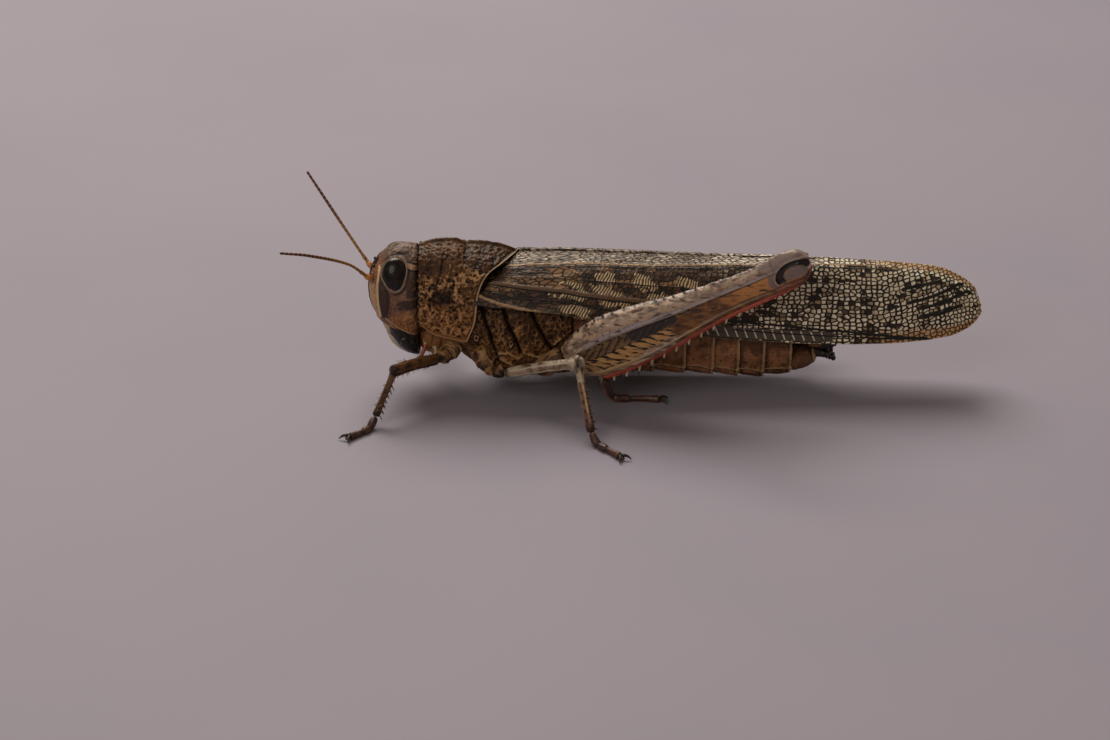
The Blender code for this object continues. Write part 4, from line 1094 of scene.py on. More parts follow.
def wing_finish():
    """Leathery front wing: brown membrane stretched in a net of dark veins. Cells left without
    pigment are straw pale and run together into spots. In the front half the spots come from
    rows of pale cross-veins instead. The membrane thins out towards the tip, and light that
    comes through it makes the pale cells there glow."""
    material, tree, mm = start_finish(
        "veined_wing_membrane", 0.52, Specular_IOR_Level=0.35,
        Subsurface_Radius=(1.0, 0.85, 0.65), Subsurface_Scale=GLOW_REACH)
    shader = tree.nodes["Principled BSDF"]
    tree.links.new(source(tree, ["thin", 0.85]), shader.inputs["Subsurface Weight"])
    cloud = mottle(tree, mm, 1.1)
    fine = mottle(tree, mm, 0.22, detail=4.0)
    amber = ("amber", fine, 0.4)
    edge, tone = wing_cells(tree, "lane", 0.53, 0.42, disorder=0.6)
    pale = ("pale", tone, 0.95)
    vein = add(tree, "Math", {0: cloud, 1: -0.3, 2: edge}, operation="MULTIPLY_ADD")
    beside_vein = add(tree, "MapRange", {0: edge, 1: 0.22, 2: 0.08})
    blotched = paint(tree, "#2b1c10", [
        (tone, 0.45, 0.85, "#664a2a"),
        (pale, 0.27, 0.45, "#a58f70"),
        (pale, 0.45, 0.8, "#faebd1"),
        ([fine, pale], 0.45, 0.8, "#d3c1a2"),
        ([amber, edge], 0.02, 0.3, "#c39a66"),
        (vein, 0.075, -0.04, "#170e08"),
        ([amber, beside_vein], 0.35, 0.7, "#5f3c18")])
    rung_edge, rung_tone = wing_cells(tree, "across", 0.40, 0.46, slant=0.25)
    bars = add(tree, "Math", {0: "across", 1: 0.22, 2: "along"}, operation="MULTIPLY_ADD")
    bars = add(tree, "Math", {0: cloud, 1: 0.5, 2: bars}, operation="MULTIPLY_ADD")
    bars = add(tree, "Math", {0: [bars, 2 * math.pi / PALE_VEIN_SPACING]}, operation="SINE")
    combed = ("combed", cloud, 0.5)
    barred = paint(tree, "#2c1e14", [
        (rung_tone, 0.45, 0.8, "#664a35"),
        (cloud, 0.46, 0.62, "#553c29"),
        (("tawny", cloud, 0.7), 0.35, 0.75, "#93704e"),
        (rung_edge, 0.16, 0.05, "#100b08"),
        (combed, 0.4, 0.7, "#5d4630"),
        ([bars, combed], 0.05, 0.5, "#dcc8a0")])
    side = add(tree, "Mix", {0: "rear", 6: barred, 7: blotched}, data_type="RGBA").outputs[2]
    back_edge, back_tone = wing_cells(tree, "across", 0.70, 0.27, slant=-1.1)
    faded = ("faded", cloud, 0.4)
    back = paint(tree, "#8f7f70", [
        (back_tone, 0.3, 0.8, "#c0ae98"),
        (cloud, 0.45, 0.7, "#6f5c4d"),
        (faded, 0.4, 0.8, "#cdbfab"),
        ([faded, back_tone], 0.2, 0.6, "#f7eddc"),
        (back_edge, 0.22, 0.07, "#241a11")])
    cover = add(tree, "MapRange", {0: ("dorsal", fine, 0.2), 1: 0.4, 2: 0.6})
    both = add(tree, "Mix", {0: cover, 6: side, 7: back}, data_type="RGBA").outputs[2]
    rung = add(tree, "Math", {0: "across", 1: -0.45, 2: "along"}, operation="MULTIPLY_ADD")
    rung = add(tree, "Math", {0: [rung, 2 * math.pi / RUNG_SPACING]}, operation="SINE")
    raised_net = add(tree, "MapRange", {0: edge, 1: 0.0, 2: 0.25, 3: 1.0, 4: 0.0})
    return end_finish(material, both, [
        ("strip", 0.4, 0.6, "#4f463c"),
        ([rung, "strip"], 0.84, 0.93, "#d8cdb4"),
        (("vein_pale", fine, 0.5), 0.4, 0.75, "#b2916b"),
        # The pale root of the radius vein, and a grey streak along the raised radius vein as a
        # painted highlight.
        (("vein_grey", fine, 0.5), 0.35, 0.85, "#a8937c"),
        (("vein_brown", fine, 0.5), 0.35, 0.85, "#6f5541"),
        (("vein_dark", fine, 0.3), 0.4, 0.65, "#110b08"),
    ], [(raised_net, 0.03), (fine, 0.02)])


def hind_wing_finish():
    """Thin clear membrane of the hind wing, pleated like a fan, straw yellow where it is thick
    with folds."""
    material, tree, mm = start_finish("pleated_hind_wing_membrane", 0.35)
    fine = mottle(tree, mm, 0.3)
    return end_finish(material, "#b0a487", [
        (fine, 0.5, 0.7, "#c4b899"),
        (("pleat", fine, 0.3), 0.4, 0.8, "#3d3325"),
    ], [(fine, 0.02)])


# Share of the length, top x and z, shoulder x and y, its drop under the top, lower x, y and z
TEGMEN = [
    (0.00, 15.4, 14.4, 13.2, 2.85, 1.40, 11.3, 4.62, 10.6),
    (0.07, 18.5, 14.45, 17.4, 2.80, 1.20, 16.0, 4.80, 10.1),
    (0.18, 23.6, 14.3, 23.0, 2.65, 1.05, 21.8, 4.80, 8.85),
    (0.38, 32.8, 13.9, 32.7, 2.30, 0.90, 32.6, 4.40, 7.00),
    (0.60, 43.6, 13.5, 43.3, 1.95, 0.75, 42.8, 3.45, 5.80),
    (0.76, 50.5, 13.0, 50.7, 1.60, 0.65, 51.2, 2.60, 5.40),
    (0.88, 56.0, 12.4, 56.3, 1.35, 0.80, 57.0, 2.05, 5.85),
    (0.94, 58.4, 11.4, 58.6, 1.22, 0.90, 59.0, 1.75, 6.55),
    (0.98, 59.95, 10.15, 60.2, 1.10, 0.70, 60.15, 1.50, 7.50),
    (1.00, 60.35, 9.30, 60.6, 1.00, 0.50, 60.4, 1.35, 8.30),
]
# The left wing laps over the right one along the middle
INNER_EDGES = [(0.0, -0.35, -0.05), (0.5, -0.35, 0.0), (0.66, -0.35, 0.25), (0.78, -0.4, 0.45),
               (0.88, -0.52, 0.52), (1.0, -0.64, 0.64)]
SHOULDER_PULL = 2.6                 # how sharply the wing turns at its shoulder
WING_ROOT = 0.12                    # share of the length that tucks in under the pronotum
WING_LENGTH = 46.0
WING_POINTS = 401                   # across the wing before its points are spaced evenly
ROWS_BEND = 34.0                    # mm along, where the rows of cells begin to bend down
TOP_WIDTH = 3.2
SIDE_WIDTH = 5.6
PLEATS = 9


def wing_grid(side, rows, columns):
    """Points of a folded front wing, its share of the length and its place across: from -1 at
    the inner edge over 0 at the shoulder to 1 at the lower edge."""
    share = np.linspace(0, 1, rows)[:, None]
    u = np.linspace(0, 1, WING_POINTS)[None, :]
    middle = WING_POINTS // 2
    top_x, top_z, corner_x, corner_y, fall, low_x, low_y, low_z = smooth(TEGMEN, share)
    inner = smooth(INNER_EDGES, share)[0 if side < 0 else 1]
    weights = ((1 - u) ** 2, 2 * SHOULDER_PULL * u * (1 - u), u * u)
    total = sum(weights)
    rows_of = ((top_x, corner_x, low_x), (inner, corner_y, low_y), (top_z, top_z - fall, low_z))
    x, y, z = [sum(w * v for w, v in zip(weights, row)) / total for row in rows_of]
    edge = [(pronotum_points(np.array(a), np.array(s))[1], a - 0.4)
            for s, a in PRONOTUM_REAR[:5]]
    root = smooth(edge, np.abs(y))[0]
    x = np.where(share < WING_ROOT, root + (x - root) * share / WING_ROOT, x)
    p = np.stack([x, y, z], -1)
    lengths = length_of(np.diff(p, axis=1))
    arc = np.concatenate([np.zeros((rows, 1)), np.cumsum(lengths, axis=1)], axis=1)
    grid = np.zeros((rows, columns, 3))
    place_across = np.zeros((rows, columns))
    for i in range(rows):
        wanted = np.linspace(0, arc[i, -1], columns)
        for k in range(3):
            grid[i, :, k] = np.interp(wanted, arc[i], p[i, :, k])
        shoulder = arc[i, middle]
        place_across[i] = np.where(wanted < shoulder, (wanted - shoulder) / shoulder,
                                   (wanted - shoulder) / (arc[i, -1] - shoulder))
    top = arc[:, middle, None]
    span = np.where(place_across < 0, top, arc[:, -1:] - top)
    return mirrored(grid, side), share + 0 * place_across, place_across, place_across * span


# Main veins as (share of the length, place across)
RADIUS_VEIN = [(0.0, 0.28), (0.032, 0.30), (0.08, 0.39), (0.16, 0.45), (0.28, 0.47), (0.45, 0.48),
               (0.60, 0.45), (0.8, 0.42)]
MEDIAL_VEIN = [(0.0, 0.15), (0.1, 0.14), (0.18, 0.16), (0.28, 0.19), (0.5, 0.2)]
SUBCOSTAL_VEIN = [(0.0, 0.47), (0.03, 0.60), (0.08, 0.71), (0.143, 0.70), (0.206, 0.73), (0.32, 0.72),
                  (0.434, 0.70), (0.553, 0.73), (0.69, 0.80), (0.79, 0.90), (0.85, 1.0)]
COSTAL_BASE = [(0.0, 0.63), (0.027, 0.75), (0.065, 0.91), (0.095, 0.98), (0.14, 1.0)]
SHOULDER_STRIPE = [(0.01, -0.25), (0.143, -0.36), (0.277, -0.36), (0.365, -0.43), (0.514, -0.55),
                   (0.8, -0.7)]
SHOULDER_VEIN = [(0.0, -0.12), (0.15, -0.25), (0.3, -0.26), (0.5, -0.42), (0.8, -0.55)]
LOWER_LINE = [(0.45, 0.84), (0.6, 0.86), (0.69, 0.88), (0.78, 0.93), (0.84, 0.95)]
TIP_STREAKS = [[(0.81, 0.33), (0.86, 0.21), (0.90, 0.03), (0.945, -0.53)],
               [(0.834, 0.42), (0.867, 0.36), (0.90, 0.24), (0.961, -0.27)],
               [(0.84, 0.55), (0.875, 0.52), (0.934, 0.34)],
               [(0.80, 0.10), (0.85, -0.03), (0.88, -0.25)]]
# Pale spots of the front half: from x to x, and from place across to place across
PALE_SPOTS = [
    (22.5, 24.4, -0.04, 0.18), (26.3, 27.6, -0.04, 0.14), (26.5, 28.3, 0.12, 0.26),
    (18.8, 21.0, 0.22, 0.30), (20.3, 21.6, 0.33, 0.42), (22.6, 24.6, 0.29, 0.44),
    (27.5, 29.3, 0.30, 0.44), (19.4, 21.4, 0.51, 0.62), (23.2, 25.7, 0.53, 0.65),
    (18.0, 19.0, 0.53, 0.60), (19.0, 21.6, 0.74, 0.94), (23.6, 25.6, 0.76, 0.94),
    (27.6, 29.6, 0.54, 0.68), (30.6, 32.2, 0.02, 0.2), (31.0, 33.4, 0.55, 0.67),
    (28.0, 30.0, 0.78, 0.92),
]


def make_tegmen(side, word, finish):
    """A front wing with its main veins raised, and the fields that its finish paints."""
    p, share, q, across = wing_grid(side, 420, 94)
    x = p[..., 0]
    along = share * WING_LENGTH
    width = np.where(q < 0, TOP_WIDTH, SIDE_WIDTH)

    def vein(points, size, shift=0.0):
        """1 along a vein that is size mm wide, shift across from its line."""
        places = [(a * WING_LENGTH, b + shift) for a, b in points]
        line = [(a, b * (TOP_WIDTH if b < 0 else SIDE_WIDTH)) for a, b in places]
        return hump(from_line(along, q * width, line), size)

    radius = vein(RADIUS_VEIN, 0.17) * step(share, 0.45, 0.36)
    beam = vein(RADIUS_VEIN, 0.42, 0.02) * step(share, 0.42, 0.30)
    root = step(share, 0.09, 0.02)
    radius_side = vein(RADIUS_VEIN, 0.13, 0.075) * step(share, 0.5, 0.4)
    medial = vein(MEDIAL_VEIN, 0.15) * step(share, 0.42, 0.34)
    subcostal = vein(SUBCOSTAL_VEIN, 0.16)
    costal = vein(COSTAL_BASE, 0.42) * step(share, 0.24, 0.12)
    stripe = vein(SHOULDER_STRIPE, 0.13)
    shoulder = vein(SHOULDER_VEIN, 0.10)
    lower = vein(LOWER_LINE, 0.10)
    streaks = unit(sum(vein(line, 0.21) for line in TIP_STREAKS))
    combed = np.zeros_like(q)
    torn = 0.75 * grain(p, 0.55, 117)
    for x0, x1, q0, q1 in PALE_SPOTS:
        spot = band(x + torn, x0, x1, 0.3) * band(q + 0.12 * torn, q0, q1, 0.03)
        combed = np.maximum(combed, spot)
    # Towards the tip the rows of cells bend down with the veins
    flat = np.stack([along, across, 0 * along], -1)
    bend = np.clip(along - ROWS_BEND, 0, None)
    lane = across + 0.55 * bend ** 2 / (bend + 4.0)
    lanes = np.stack([along, lane * 1.9, 0 * along], -1)
    rear = step(share, 0.36, 0.52)
    blotch = (0.6 * grain(lanes * (0.6, 1.15, 1), 1.0, 111) + 0.40 * grain(flat, 0.6, 112)
              + 0.22 * grain(flat, 3.5, 113))
    speckle = step(blotch - 0.18 * step(share, 0.72, 0.86), 0.38, 0.14)
    drift = grain(lanes, 2.4, 121) + 0.4 * grain(lanes, 0.9, 122)
    drift = 0.72 + 0.28 * step(drift, -0.35, 0.15)
    pale = (rear * (0.12 + 0.88 * speckle * drift)
            + (1 - rear) * 0.28 * step(share, 0.30, 0.40) * speckle)
    pale = pale * (1 - streaks) * (1 - 0.8 * shoulder)
    edge_low = (1 - q) * width
    margin = np.minimum(edge_low, (1 + q) * TOP_WIDTH)
    tip = np.maximum(step(share, 0.972, 0.995), step(margin, 1.9, 0.35) * step(share, 0.66, 0.82))
    stripe_q = np.interp(share, *np.array(SHOULDER_STRIPE).T)
    dorsal = step(q - stripe_q, 0.09, 0.02) * step(share, 0.72, 0.52)
    tawny = step(0.6 * grain(lanes, 1.3, 119) + 0.25 * grain(flat, 0.5, 120), 0.1, 0.4)
    base_patch = hump(from_line(along, q * width, [(2.5, 0.9), (6.5, 1.1)]), 0.55)
    marks = {
        "along": along, "across": across, "lane": lane, "rear": rear, "pale": pale,
        "combed": combed * (1 - rear), "thin": step(share, 0.50, 0.72), "dorsal": dorsal,
        "faded": step(share, 0.2, 0.6) * dorsal, "amber": tip,
        "strip": band(q, 0.80, 0.97, 0.02) * band(share, 0.36, 0.66, 0.03),
        "vein_pale": unit(0.7 * costal * step(share, 0.17, 0.08)
                          + 0.8 * stripe * step(share, 0.9, 0.7)
                          + 0.6 * step(edge_low, 0.14, 0.05) * step(share, 0.3, 0.4)),
        "tawny": unit(band(share, 0.02, 0.34, 0.03) * tawny + base_patch),
        # Pale root of the radius vein, and a grey streak along it as a painted highlight.
        "vein_grey": unit(radius * (0.55 + 0.4 * root) + 0.7 * beam * root),
        "vein_brown": 0.85 * beam,
        "vein_dark": unit(0.95 * radius_side * (1 - 0.75 * radius) + 0.8 * subcostal
                          + 0.7 * medial + 0.75 * shoulder * step(share, 0.85, 0.6)
                          + 0.8 * lower + 0.85 * streaks
                          + 0.7 * vein(COSTAL_BASE, 0.12, -0.05) * step(share, 0.2, 0.1)
                          + 0.8 * step(share, 0.012, 0.0)),
    }
    height = (0.10 * radius + 0.10 * beam + 0.06 * medial + 0.07 * subcostal + 0.22 * costal
              + 0.06 * stripe + 0.05 * shoulder + 0.04 * lower + 0.05 * streaks
              + 0.045 * grain(lanes, 1.2, 115) + 0.02 * grain(flat, 0.4, 116)
              - 0.42 * step(share, 0.035, 0.0))
    normal = grid_normals(p, False)
    normal *= np.sign((normal * (p - (0, 0, 8.0)) * (0, 1, 1)).sum(-1, keepdims=True))
    plate("front_wing_" + word, p + normal * height[..., None], -0.14 * normal, finish, marks,
          nodes=("tegmen_" + word,), slot="wing")


def make_hind_wing(side, word, finish):
    """The folded fan of the hind wing, hidden under the front wing but for its lower edge."""
    share = np.linspace(0.14, 0.68, 160)[:, None]
    t = np.linspace(0, 1, 60)[None, :]
    top_x, top_z, _, _, _, low_x, low_y, low_z = smooth(TEGMEN, share)
    low = (low_x, np.maximum(low_y - 1.9, 0.75), low_z + 2.3)
    high = (top_x, 0.75 + 0 * top_x, top_z - 1.2)
    p = np.stack([a + (b - a) * t for a, b in zip(high, low)], -1)
    pleats = np.sin(t * 2 * math.pi * PLEATS)
    p[..., 1] += 0.12 * pleats
    plate("hind_wing_fan_" + word, mirrored(p, side), np.array((0, 0.1 * side, 0)), finish,
          {"pleat": step(pleats, 0.3, -0.9)}, nodes=("hind_wing_" + word,), slot="hind_wing")


# ---- Legs ----

def leg_finish(name, ground, light, dark, line, roughness=0.4):
    """Cuticle of a walking leg, ribbed lengthwise, thinly waxed. The ribs are painted pale as a
    painted highlight and the furrows between them stay dark, with darker blotches where the
    muscles hold on. The underside of each segment is painted darker as painted shade, and on
    hips and thighs the upper face is painted lighter as a painted highlight."""
    material, tree, mm = start_finish(name, roughness, Specular_IOR_Level=0.3)
    cloud = mottle(tree, mm, 1.1)
    fine = mottle(tree, mm, 0.2, detail=4.0)
    pits = add(tree, "TexVoronoi", {"Vector": mm, "Scale": 1 / 0.22}).outputs["Distance"]
    return end_finish(material, ground, [
        # Lighter where the above mark is set; on hips and thighs that is the upper face, a painted
        # highlight.
        (("above", cloud, 0.6), 0.35, 0.75, light),
        (cloud, 0.5, 0.68, dark),
        # Ribs painted pale: painted highlight.
        (("ridge", fine, 0.5), 0.5, 0.9, light),
        (fine, 0.55, 0.8, dark),
        (("shade", cloud, 0.6), 0.4, 0.8, dark),
        (("dark_line", fine, 0.4), 0.4, 0.7, line),
        (pits, 0.13, 0.03, line),
    ], [(pits, 0.03), (fine, 0.04)])


def thigh_finish():
    """Cuticle of the jumping leg: a waxy grey upper face, herringbone plates where the muscles
    hold on, dark above their middle line and straw below, and an amber end by the knee."""
    material, tree, mm = start_finish("herringbone_thigh_cuticle", 0.42)
    cloud = mottle(tree, mm, 1.2)
    streak = mottle(tree, mm, 0.45, stretch=(0.3, 1.0, 1.0))
    fine = mottle(tree, mm, 0.16, detail=4.0)
    return end_finish(material, "#9d8470", [
        (cloud, 0.42, 0.60, "#664f43"),
        (streak, 0.46, 0.62, "#c0a68e"),
        (("bruise", cloud, 0.9), 0.35, 0.8, "#463837"),
        (("flesh", cloud, 0.5), 0.3, 0.8, "#b4937a"),
        (("lilac", cloud, 0.5), 0.25, 0.75, "#988a90"),
        (("middle", fine, 0.25), 0.4, 0.6, "#7d5630"),
        (("upper_plate", fine, 0.4), 0.3, 0.7, "#7a5b36"),
        (("lower_plate", cloud, 0.6), 0.2, 0.6, "#c2935a"),
        (("amber", cloud, 0.5), 0.25, 0.8, "#633a14"),
        ([("amber", fine, 0.3), streak], 0.42, 0.6, "#8f5d2a"),
        (("honey", streak, 0.9), 0.25, 0.85, "#c08348"),
        (("rust", cloud, 0.5), 0.3, 0.8, "#8a4b2b"),
        (mottle(tree, mm, 0.4, stretch=(0.25, 1.0, 1.1)), 0.54, 0.68, "#452d18"),
        (("blotch", cloud, 0.6), 0.4, 0.65, "#2b1e17"),
        (fine, 0.55, 0.75, "#43352b"),
        (("keel", fine, 0.35), 0.35, 0.75, "#b39a78"),
        (("grey", cloud, 0.6), 0.3, 0.9, "#7f6c66"),
        (("rim", fine, 0.3), 0.4, 0.8, "#ad988d"),
        (("chevron", fine, 0.5), 0.35, 0.65, "#241a12"),
        (("dark_line", fine, 0.3), 0.35, 0.6, "#120d0b"),
    ], [(fine, 0.04), (mottle(tree, mm, 0.45), 0.05)])


def shin_finish():
    """Red cuticle of the hind shin, dyed through and glossy with wax. Light spreads a little
    way into it, so the red stays full in its shadows."""
    material, tree, mm = start_finish("red_shin_cuticle", 0.33, Subsurface_Weight=0.1,
                                      Subsurface_Scale=GLOW_REACH)
    fine = mottle(tree, mm, 0.2)
    cloud = mottle(tree, mm, 1.0)
    return end_finish(material, "#bf452c", [
        (cloud, 0.45, 0.65, "#d0603f"),
        (fine, 0.55, 0.75, "#702a1e"),
        (("shade", cloud, 0.4), 0.4, 0.7, "#3b1f1a"),
        # Ribs painted pale: painted highlight.
        (("ridge", fine, 0.4), 0.5, 0.8, "#c87a60"),
    ], [(fine, 0.03)])


def spine_finish(name, body, tip):
    """A thorn of the leg, horn-clear at its root and hardened black at its point."""
    material, tree, mm = start_finish(name, 0.3)
    fine = mottle(tree, mm, 0.2)
    return end_finish(material, body, [
        (fine, 0.5, 0.8, tip),
        (("tip", fine, 0.25), 0.35, 0.55, tip),
    ], [(fine, 0.01)])


def foot_finish():
    """Cuticle of the foot, dark above with amber pads under each segment."""
    material, tree, mm = start_finish("foot_cuticle", 0.4)
    fine = mottle(tree, mm, 0.2, detail=4.0)
    return end_finish(material, "#3b221a", [
        (mottle(tree, mm, 0.8), 0.45, 0.65, "#5f3a28"),
        (("pad", fine, 0.4), 0.4, 0.7, "#9a5530"),
        (fine, 0.55, 0.75, "#241610"),
        (("claw", fine, 0.3), 0.4, 0.7, "#1d1512"),
        (("dark_line", fine, 0.3), 0.4, 0.7, "#17100d"),
    ], [(fine, 0.04)])


def leg_marks(p, share, turn, ribs, seed):
    """Relief and markings of a leg segment: ribs along it, a collar at each end."""
    over = np.sin(2 * math.pi * turn)
    rib = (np.abs(np.cos(math.pi * ribs * turn)) ** 6
           * window(share, 0.03, 0.12, 0.9, 0.98))
    net = wrinkles(p * (0.5, 1, 1), 0.34, 90 + seed)
    collar = hump(share - 0.965, 0.015) + hump(share - 0.035, 0.012)
    height = 0.045 * rib + 0.022 * net + 0.03 * grain(p, 0.7, 91) - 0.05 * collar
    # The upper face is painted lighter as a painted highlight, the ribs pale as a painted highlight,
    # and the underside darker as painted shade; the end by the next joint is darker too.
    marks = {"above": step(over, -0.1, 0.7), "ridge": unit(rib + 0.4 * net),
             "shade": 0.5 * step(share, 0.88, 0.97) + 0.4 * step(over, -0.4, -0.9),
             "dark_line": unit(collar * 0.9)}
    return height, marks


def darken(marks, mark, more):
    """Add more to a marking."""
    marks[mark] = unit(marks[mark] + more)


def towards(a, b):
    """The direction from a to b."""
    return (b - a) / np.linalg.norm(b - a)


def scaled(radii, size):
    """Radii of a limb given for a size of 1."""
    return np.array(radii) * (1, size, size)


PAD = 0.33
CLAW_SPREAD = math.radians(42)
FLOOR_GAP = 0.02
CLAW_RADII = [(0, 0.17, 0.2), (0.5, 0.12, 0.15), (1, 0.025, 0.03)]
LOBE_RADII = [(0, 0.18, 0.16), (0.6, 0.27, 0.15), (1, 0.2, 0.1)]
FOOT_RADII = [(0.0, 0.26, 0.28), (0.08, 0.36, 0.38), (0.22, 0.42, 0.42), (0.31, 0.34, 0.36),
              (0.335, 0.24, 0.28), (0.37, 0.36, 0.38), (0.5, 0.38, 0.42), (0.56, 0.34, 0.36),
              (0.585, 0.21, 0.26), (0.64, 0.25, 0.30), (0.85, 0.29, 0.34), (0.97, 0.36, 0.40),
              (1.0, 0.30, 0.33)]


def make_foot(pair, side, word, path, finish):
    """Three segments with pads underneath, two claws, and the soft lobe between them."""
    path = mirrored(path, side)
    p, share, turn = limb_grid(path, FOOT_RADII, 120, 36)
    under = step(-np.sin(2 * math.pi * turn), 0.35, 0.8)
    pad_joint = hump(share - 0.12, 0.008) * under
    joints = hump(share - 0.335, 0.012) + hump(share - 0.585, 0.012) + pad_joint
    p = raised(p, 0.03 * grain(p, 0.4, 95) - 0.03 * pad_joint)
    p[..., 2] = np.maximum(p[..., 2], FLOOR_GAP)
    tag = "%s_%s" % (pair, word)
    loft("foot_" + tag, p, finish, {"pad": under, "dark_line": unit(joints)},
         nodes=("%s_tarsus_%s" % (pair, word),), slot="foot")
    end = path[-1]
    ahead = towards(path[-2], end)
    heading = math.atan2(ahead[1], ahead[0])
    for number, spread in enumerate((-CLAW_SPREAD, CLAW_SPREAD), start=1):
        out = np.array((math.cos(heading + spread), math.sin(heading + spread), 0))
        claw = [end - ahead * 0.15] + [end + out * reach + (0, 0, rise) for reach, rise
                                       in ((0.35, 0.18), (0.75, 0.08), (1.10, -0.22))]
        loft("claw_%s_%d" % (tag, number), limb_grid(claw, CLAW_RADII, 30, 16)[0], finish,
             {"claw": 1.0}, slot="foot")
    lobe = [end, end + ahead * 0.5 + (0, 0, -0.1)]
    loft("grip_lobe_" + tag, limb_grid(lobe, LOBE_RADII, 14, 20)[0], finish, {"pad": 0.35},
         slot="foot")


FRONT_HIP = [(8.4, 2.9, 5.05), (7.7, 3.9, 4.75), (7.05, 4.75, 4.75)]
MIDDLE_HIP = [(11.7, 4.35, 4.2), (12.7, 4.35, 3.35), (13.6, 4.85, 3.2)]
# Hip joints, knee, end of the shin, then the foot's joints
WALKING_LEGS = {
    ("front", "left"): (FRONT_HIP, (2.95, 8.9, 5.35), (1.15, 10.2, 1.25),
                        [(0.6, 11.1, 0.4), (-0.1, 12.1, PAD), (-1.25, 13.15, PAD)]),
    ("front", "right"): (FRONT_HIP, (5.2, 9.9, 5.6), (3.95, 10.3, 1.3),
                         [(3.6, 11.0, 0.4), (3.1, 12.0, PAD), (2.4, 13.2, PAD)]),
    ("middle", "left"): (MIDDLE_HIP, (20.7, 8.7, 6.0), (21.95, 13.8, 1.3),
                         [(22.5, 14.7, 0.42), (23.4, 15.8, PAD), (24.7, 17.4, PAD)]),
}
WALKING_LEGS["middle", "right"] = WALKING_LEGS["middle", "left"]
# Radii of the hip, of the thigh where thin and thick, and of the shin
LEG_SIZES = {"front": (0.82, 0.55, 0.60, 0.34), "middle": (0.80, 0.50, 0.80, 0.38)}
HIP_SHAPE = [(0, 1.25, 1.3), (0.45, 1.05, 1.05), (0.75, 0.86, 0.86), (1, 0.62, 0.62)]
THIGH_STEM = [(0, 0.7, 0.8), (0.08, 1, 1), (0.45, 1.02, 1.02), (0.80, 1.0, 1.05)]
THIGH_KNEE = [(0.90, 0.9, 1), (0.96, 0.85, 0.95), (1, 0.5, 0.6)]
SHIN_SHAPE = [(0, 0.9, 1.2), (0.07, 0.95, 1.25), (0.15, 0.85, 0.95), (0.5, 0.9, 0.95),
              (0.9, 1.05, 1.1), (1, 1.15, 1.1)]


def make_walking_leg(pair, side, word, finishes):
    """Hip, thigh, shin and foot of a front or a middle leg."""
    hip, knee, ankle, foot = WALKING_LEGS[pair, word]
    coxa, thin, thick, shin = LEG_SIZES[pair]
    hip = [mirrored(point, side) for point in hip]
    knee, ankle = mirrored(knee, side), mirrored(ankle, side)
    tag = "%s_%s" % (pair, word)
    slot = pair + "_leg"

    def node(part):
        return ("%s_%s_%s" % (pair, part, word),)

    shoulder = hip[0] + (hip[0] - hip[1]) * 0.9 + np.array((0.3, -0.5 * side, 0.6))
    p, share, turn = limb_grid([shoulder] + hip, scaled(HIP_SHAPE, coxa), 90, 72)
    height, marks = leg_marks(p, share, turn, ribs=3, seed=1)
    crease = hump(share - 0.72, 0.02)
    folds = wrinkles(p * (1, 1, 0.6), 0.75, 93)
    net = wrinkles(p, 0.35, 92)
    darken(marks, "dark_line", crease)
    # The hip's folds are painted pale as a painted highlight, the skin between them darker as painted
    # shade.
    darken(marks, "ridge", 0.6 * net + 0.9 * folds)
    darken(marks, "shade", 0.6 * (1 - folds))
    loft("hip_" + tag, raised(p, height - 0.12 * crease + 0.06 * net + 0.13 * folds),
         finishes["hip"], marks, nodes=node("coxa"), slot=slot)

    start = hip[-1]
    end = knee + towards(start, knee) * thick * 0.9
    middle = (start + end) / 2 + (0, 0, 0.12)
    radii = np.vstack([scaled(THIGH_STEM, thin), scaled(THIGH_KNEE, thick)])
    p, share, turn = limb_grid([start, middle, end], radii, 130, 64)
    height, marks = leg_marks(p, share, turn, ribs=5, seed=2)
    from_knee = length_of(p - knee - (0, 0, -0.1))
    arch = hump(from_knee - thick * 0.85, 0.07) * step(share, 0.84, 0.9)
    darken(marks, "dark_line", 0.7 * arch)
    darken(marks, "above", step(share, 0.86, 0.92))
    marks["shade"] = marks["shade"] * step(share, 0.93, 0.85)
    loft("thigh_" + tag, raised(p, height - 0.04 * arch), finishes["thigh"], marks,
         nodes=node("femur"), slot=slot)
    hairs("thigh_hairs_" + tag, p, 60, 0.34, finishes["hair"], 11, slot=slot)

    down = towards(knee, ankle)
    start = knee + down * 0.15
    p, share, turn = limb_grid([start, ankle + down * 0.15], scaled(SHIN_SHAPE, shin), 110, 44)
    height, marks = leg_marks(p, share, turn, ribs=4, seed=3)
    marks["above"] = step(share, 0.45, 0.15)
    darken(marks, "shade", 0.7 * step(share, 0.35, 0.95))
    loft("shin_" + tag, raised(p, height), finishes["shin"], marks,
         nodes=node("tibia"), slot=slot)
    hairs("shin_hairs_" + tag, p, 46, 0.30, finishes["hair"], 12, slot=slot)
    roots, tips = shin_spines(start, ankle, down, shin)
    spikes("shin_spines_" + tag, roots, tips, 0.075, finishes["spine"], bend=-0.15, slot=slot)
    heel = mirrored(ankle + down * 0.2, side)
    make_foot(pair, side, word, [heel] + foot, finishes["foot"])


def shin_spines(start, ankle, down, shin):
    """Roots and tips of two rows of thorns under the shin."""
    roots, tips = [], []
    level = np.cross(down, (0, 0, 1))
    level = level / np.linalg.norm(level)
    back = np.cross(down, level)
    for row, count in ((-1, 7), (1, 6)):
        outward = back * 0.75 * (1 if back[0] > 0 else -1) + level * 0.6 * row
        for share in np.linspace(0.28, 0.97, count):
            root = start + (ankle - start) * share + outward * shin * 0.75
            size = 0.55 + 0.12 * math.sin(share * 9 + row)
            roots.append(root)
            tips.append(root + (outward * 0.8 + down * 0.62) * size)
    return roots, tips


HIND_HIP = np.array((19.3, 5.3, 5.6))
KNEE_RISE = {"left": math.radians(23.8), "right": math.radians(6.5)}
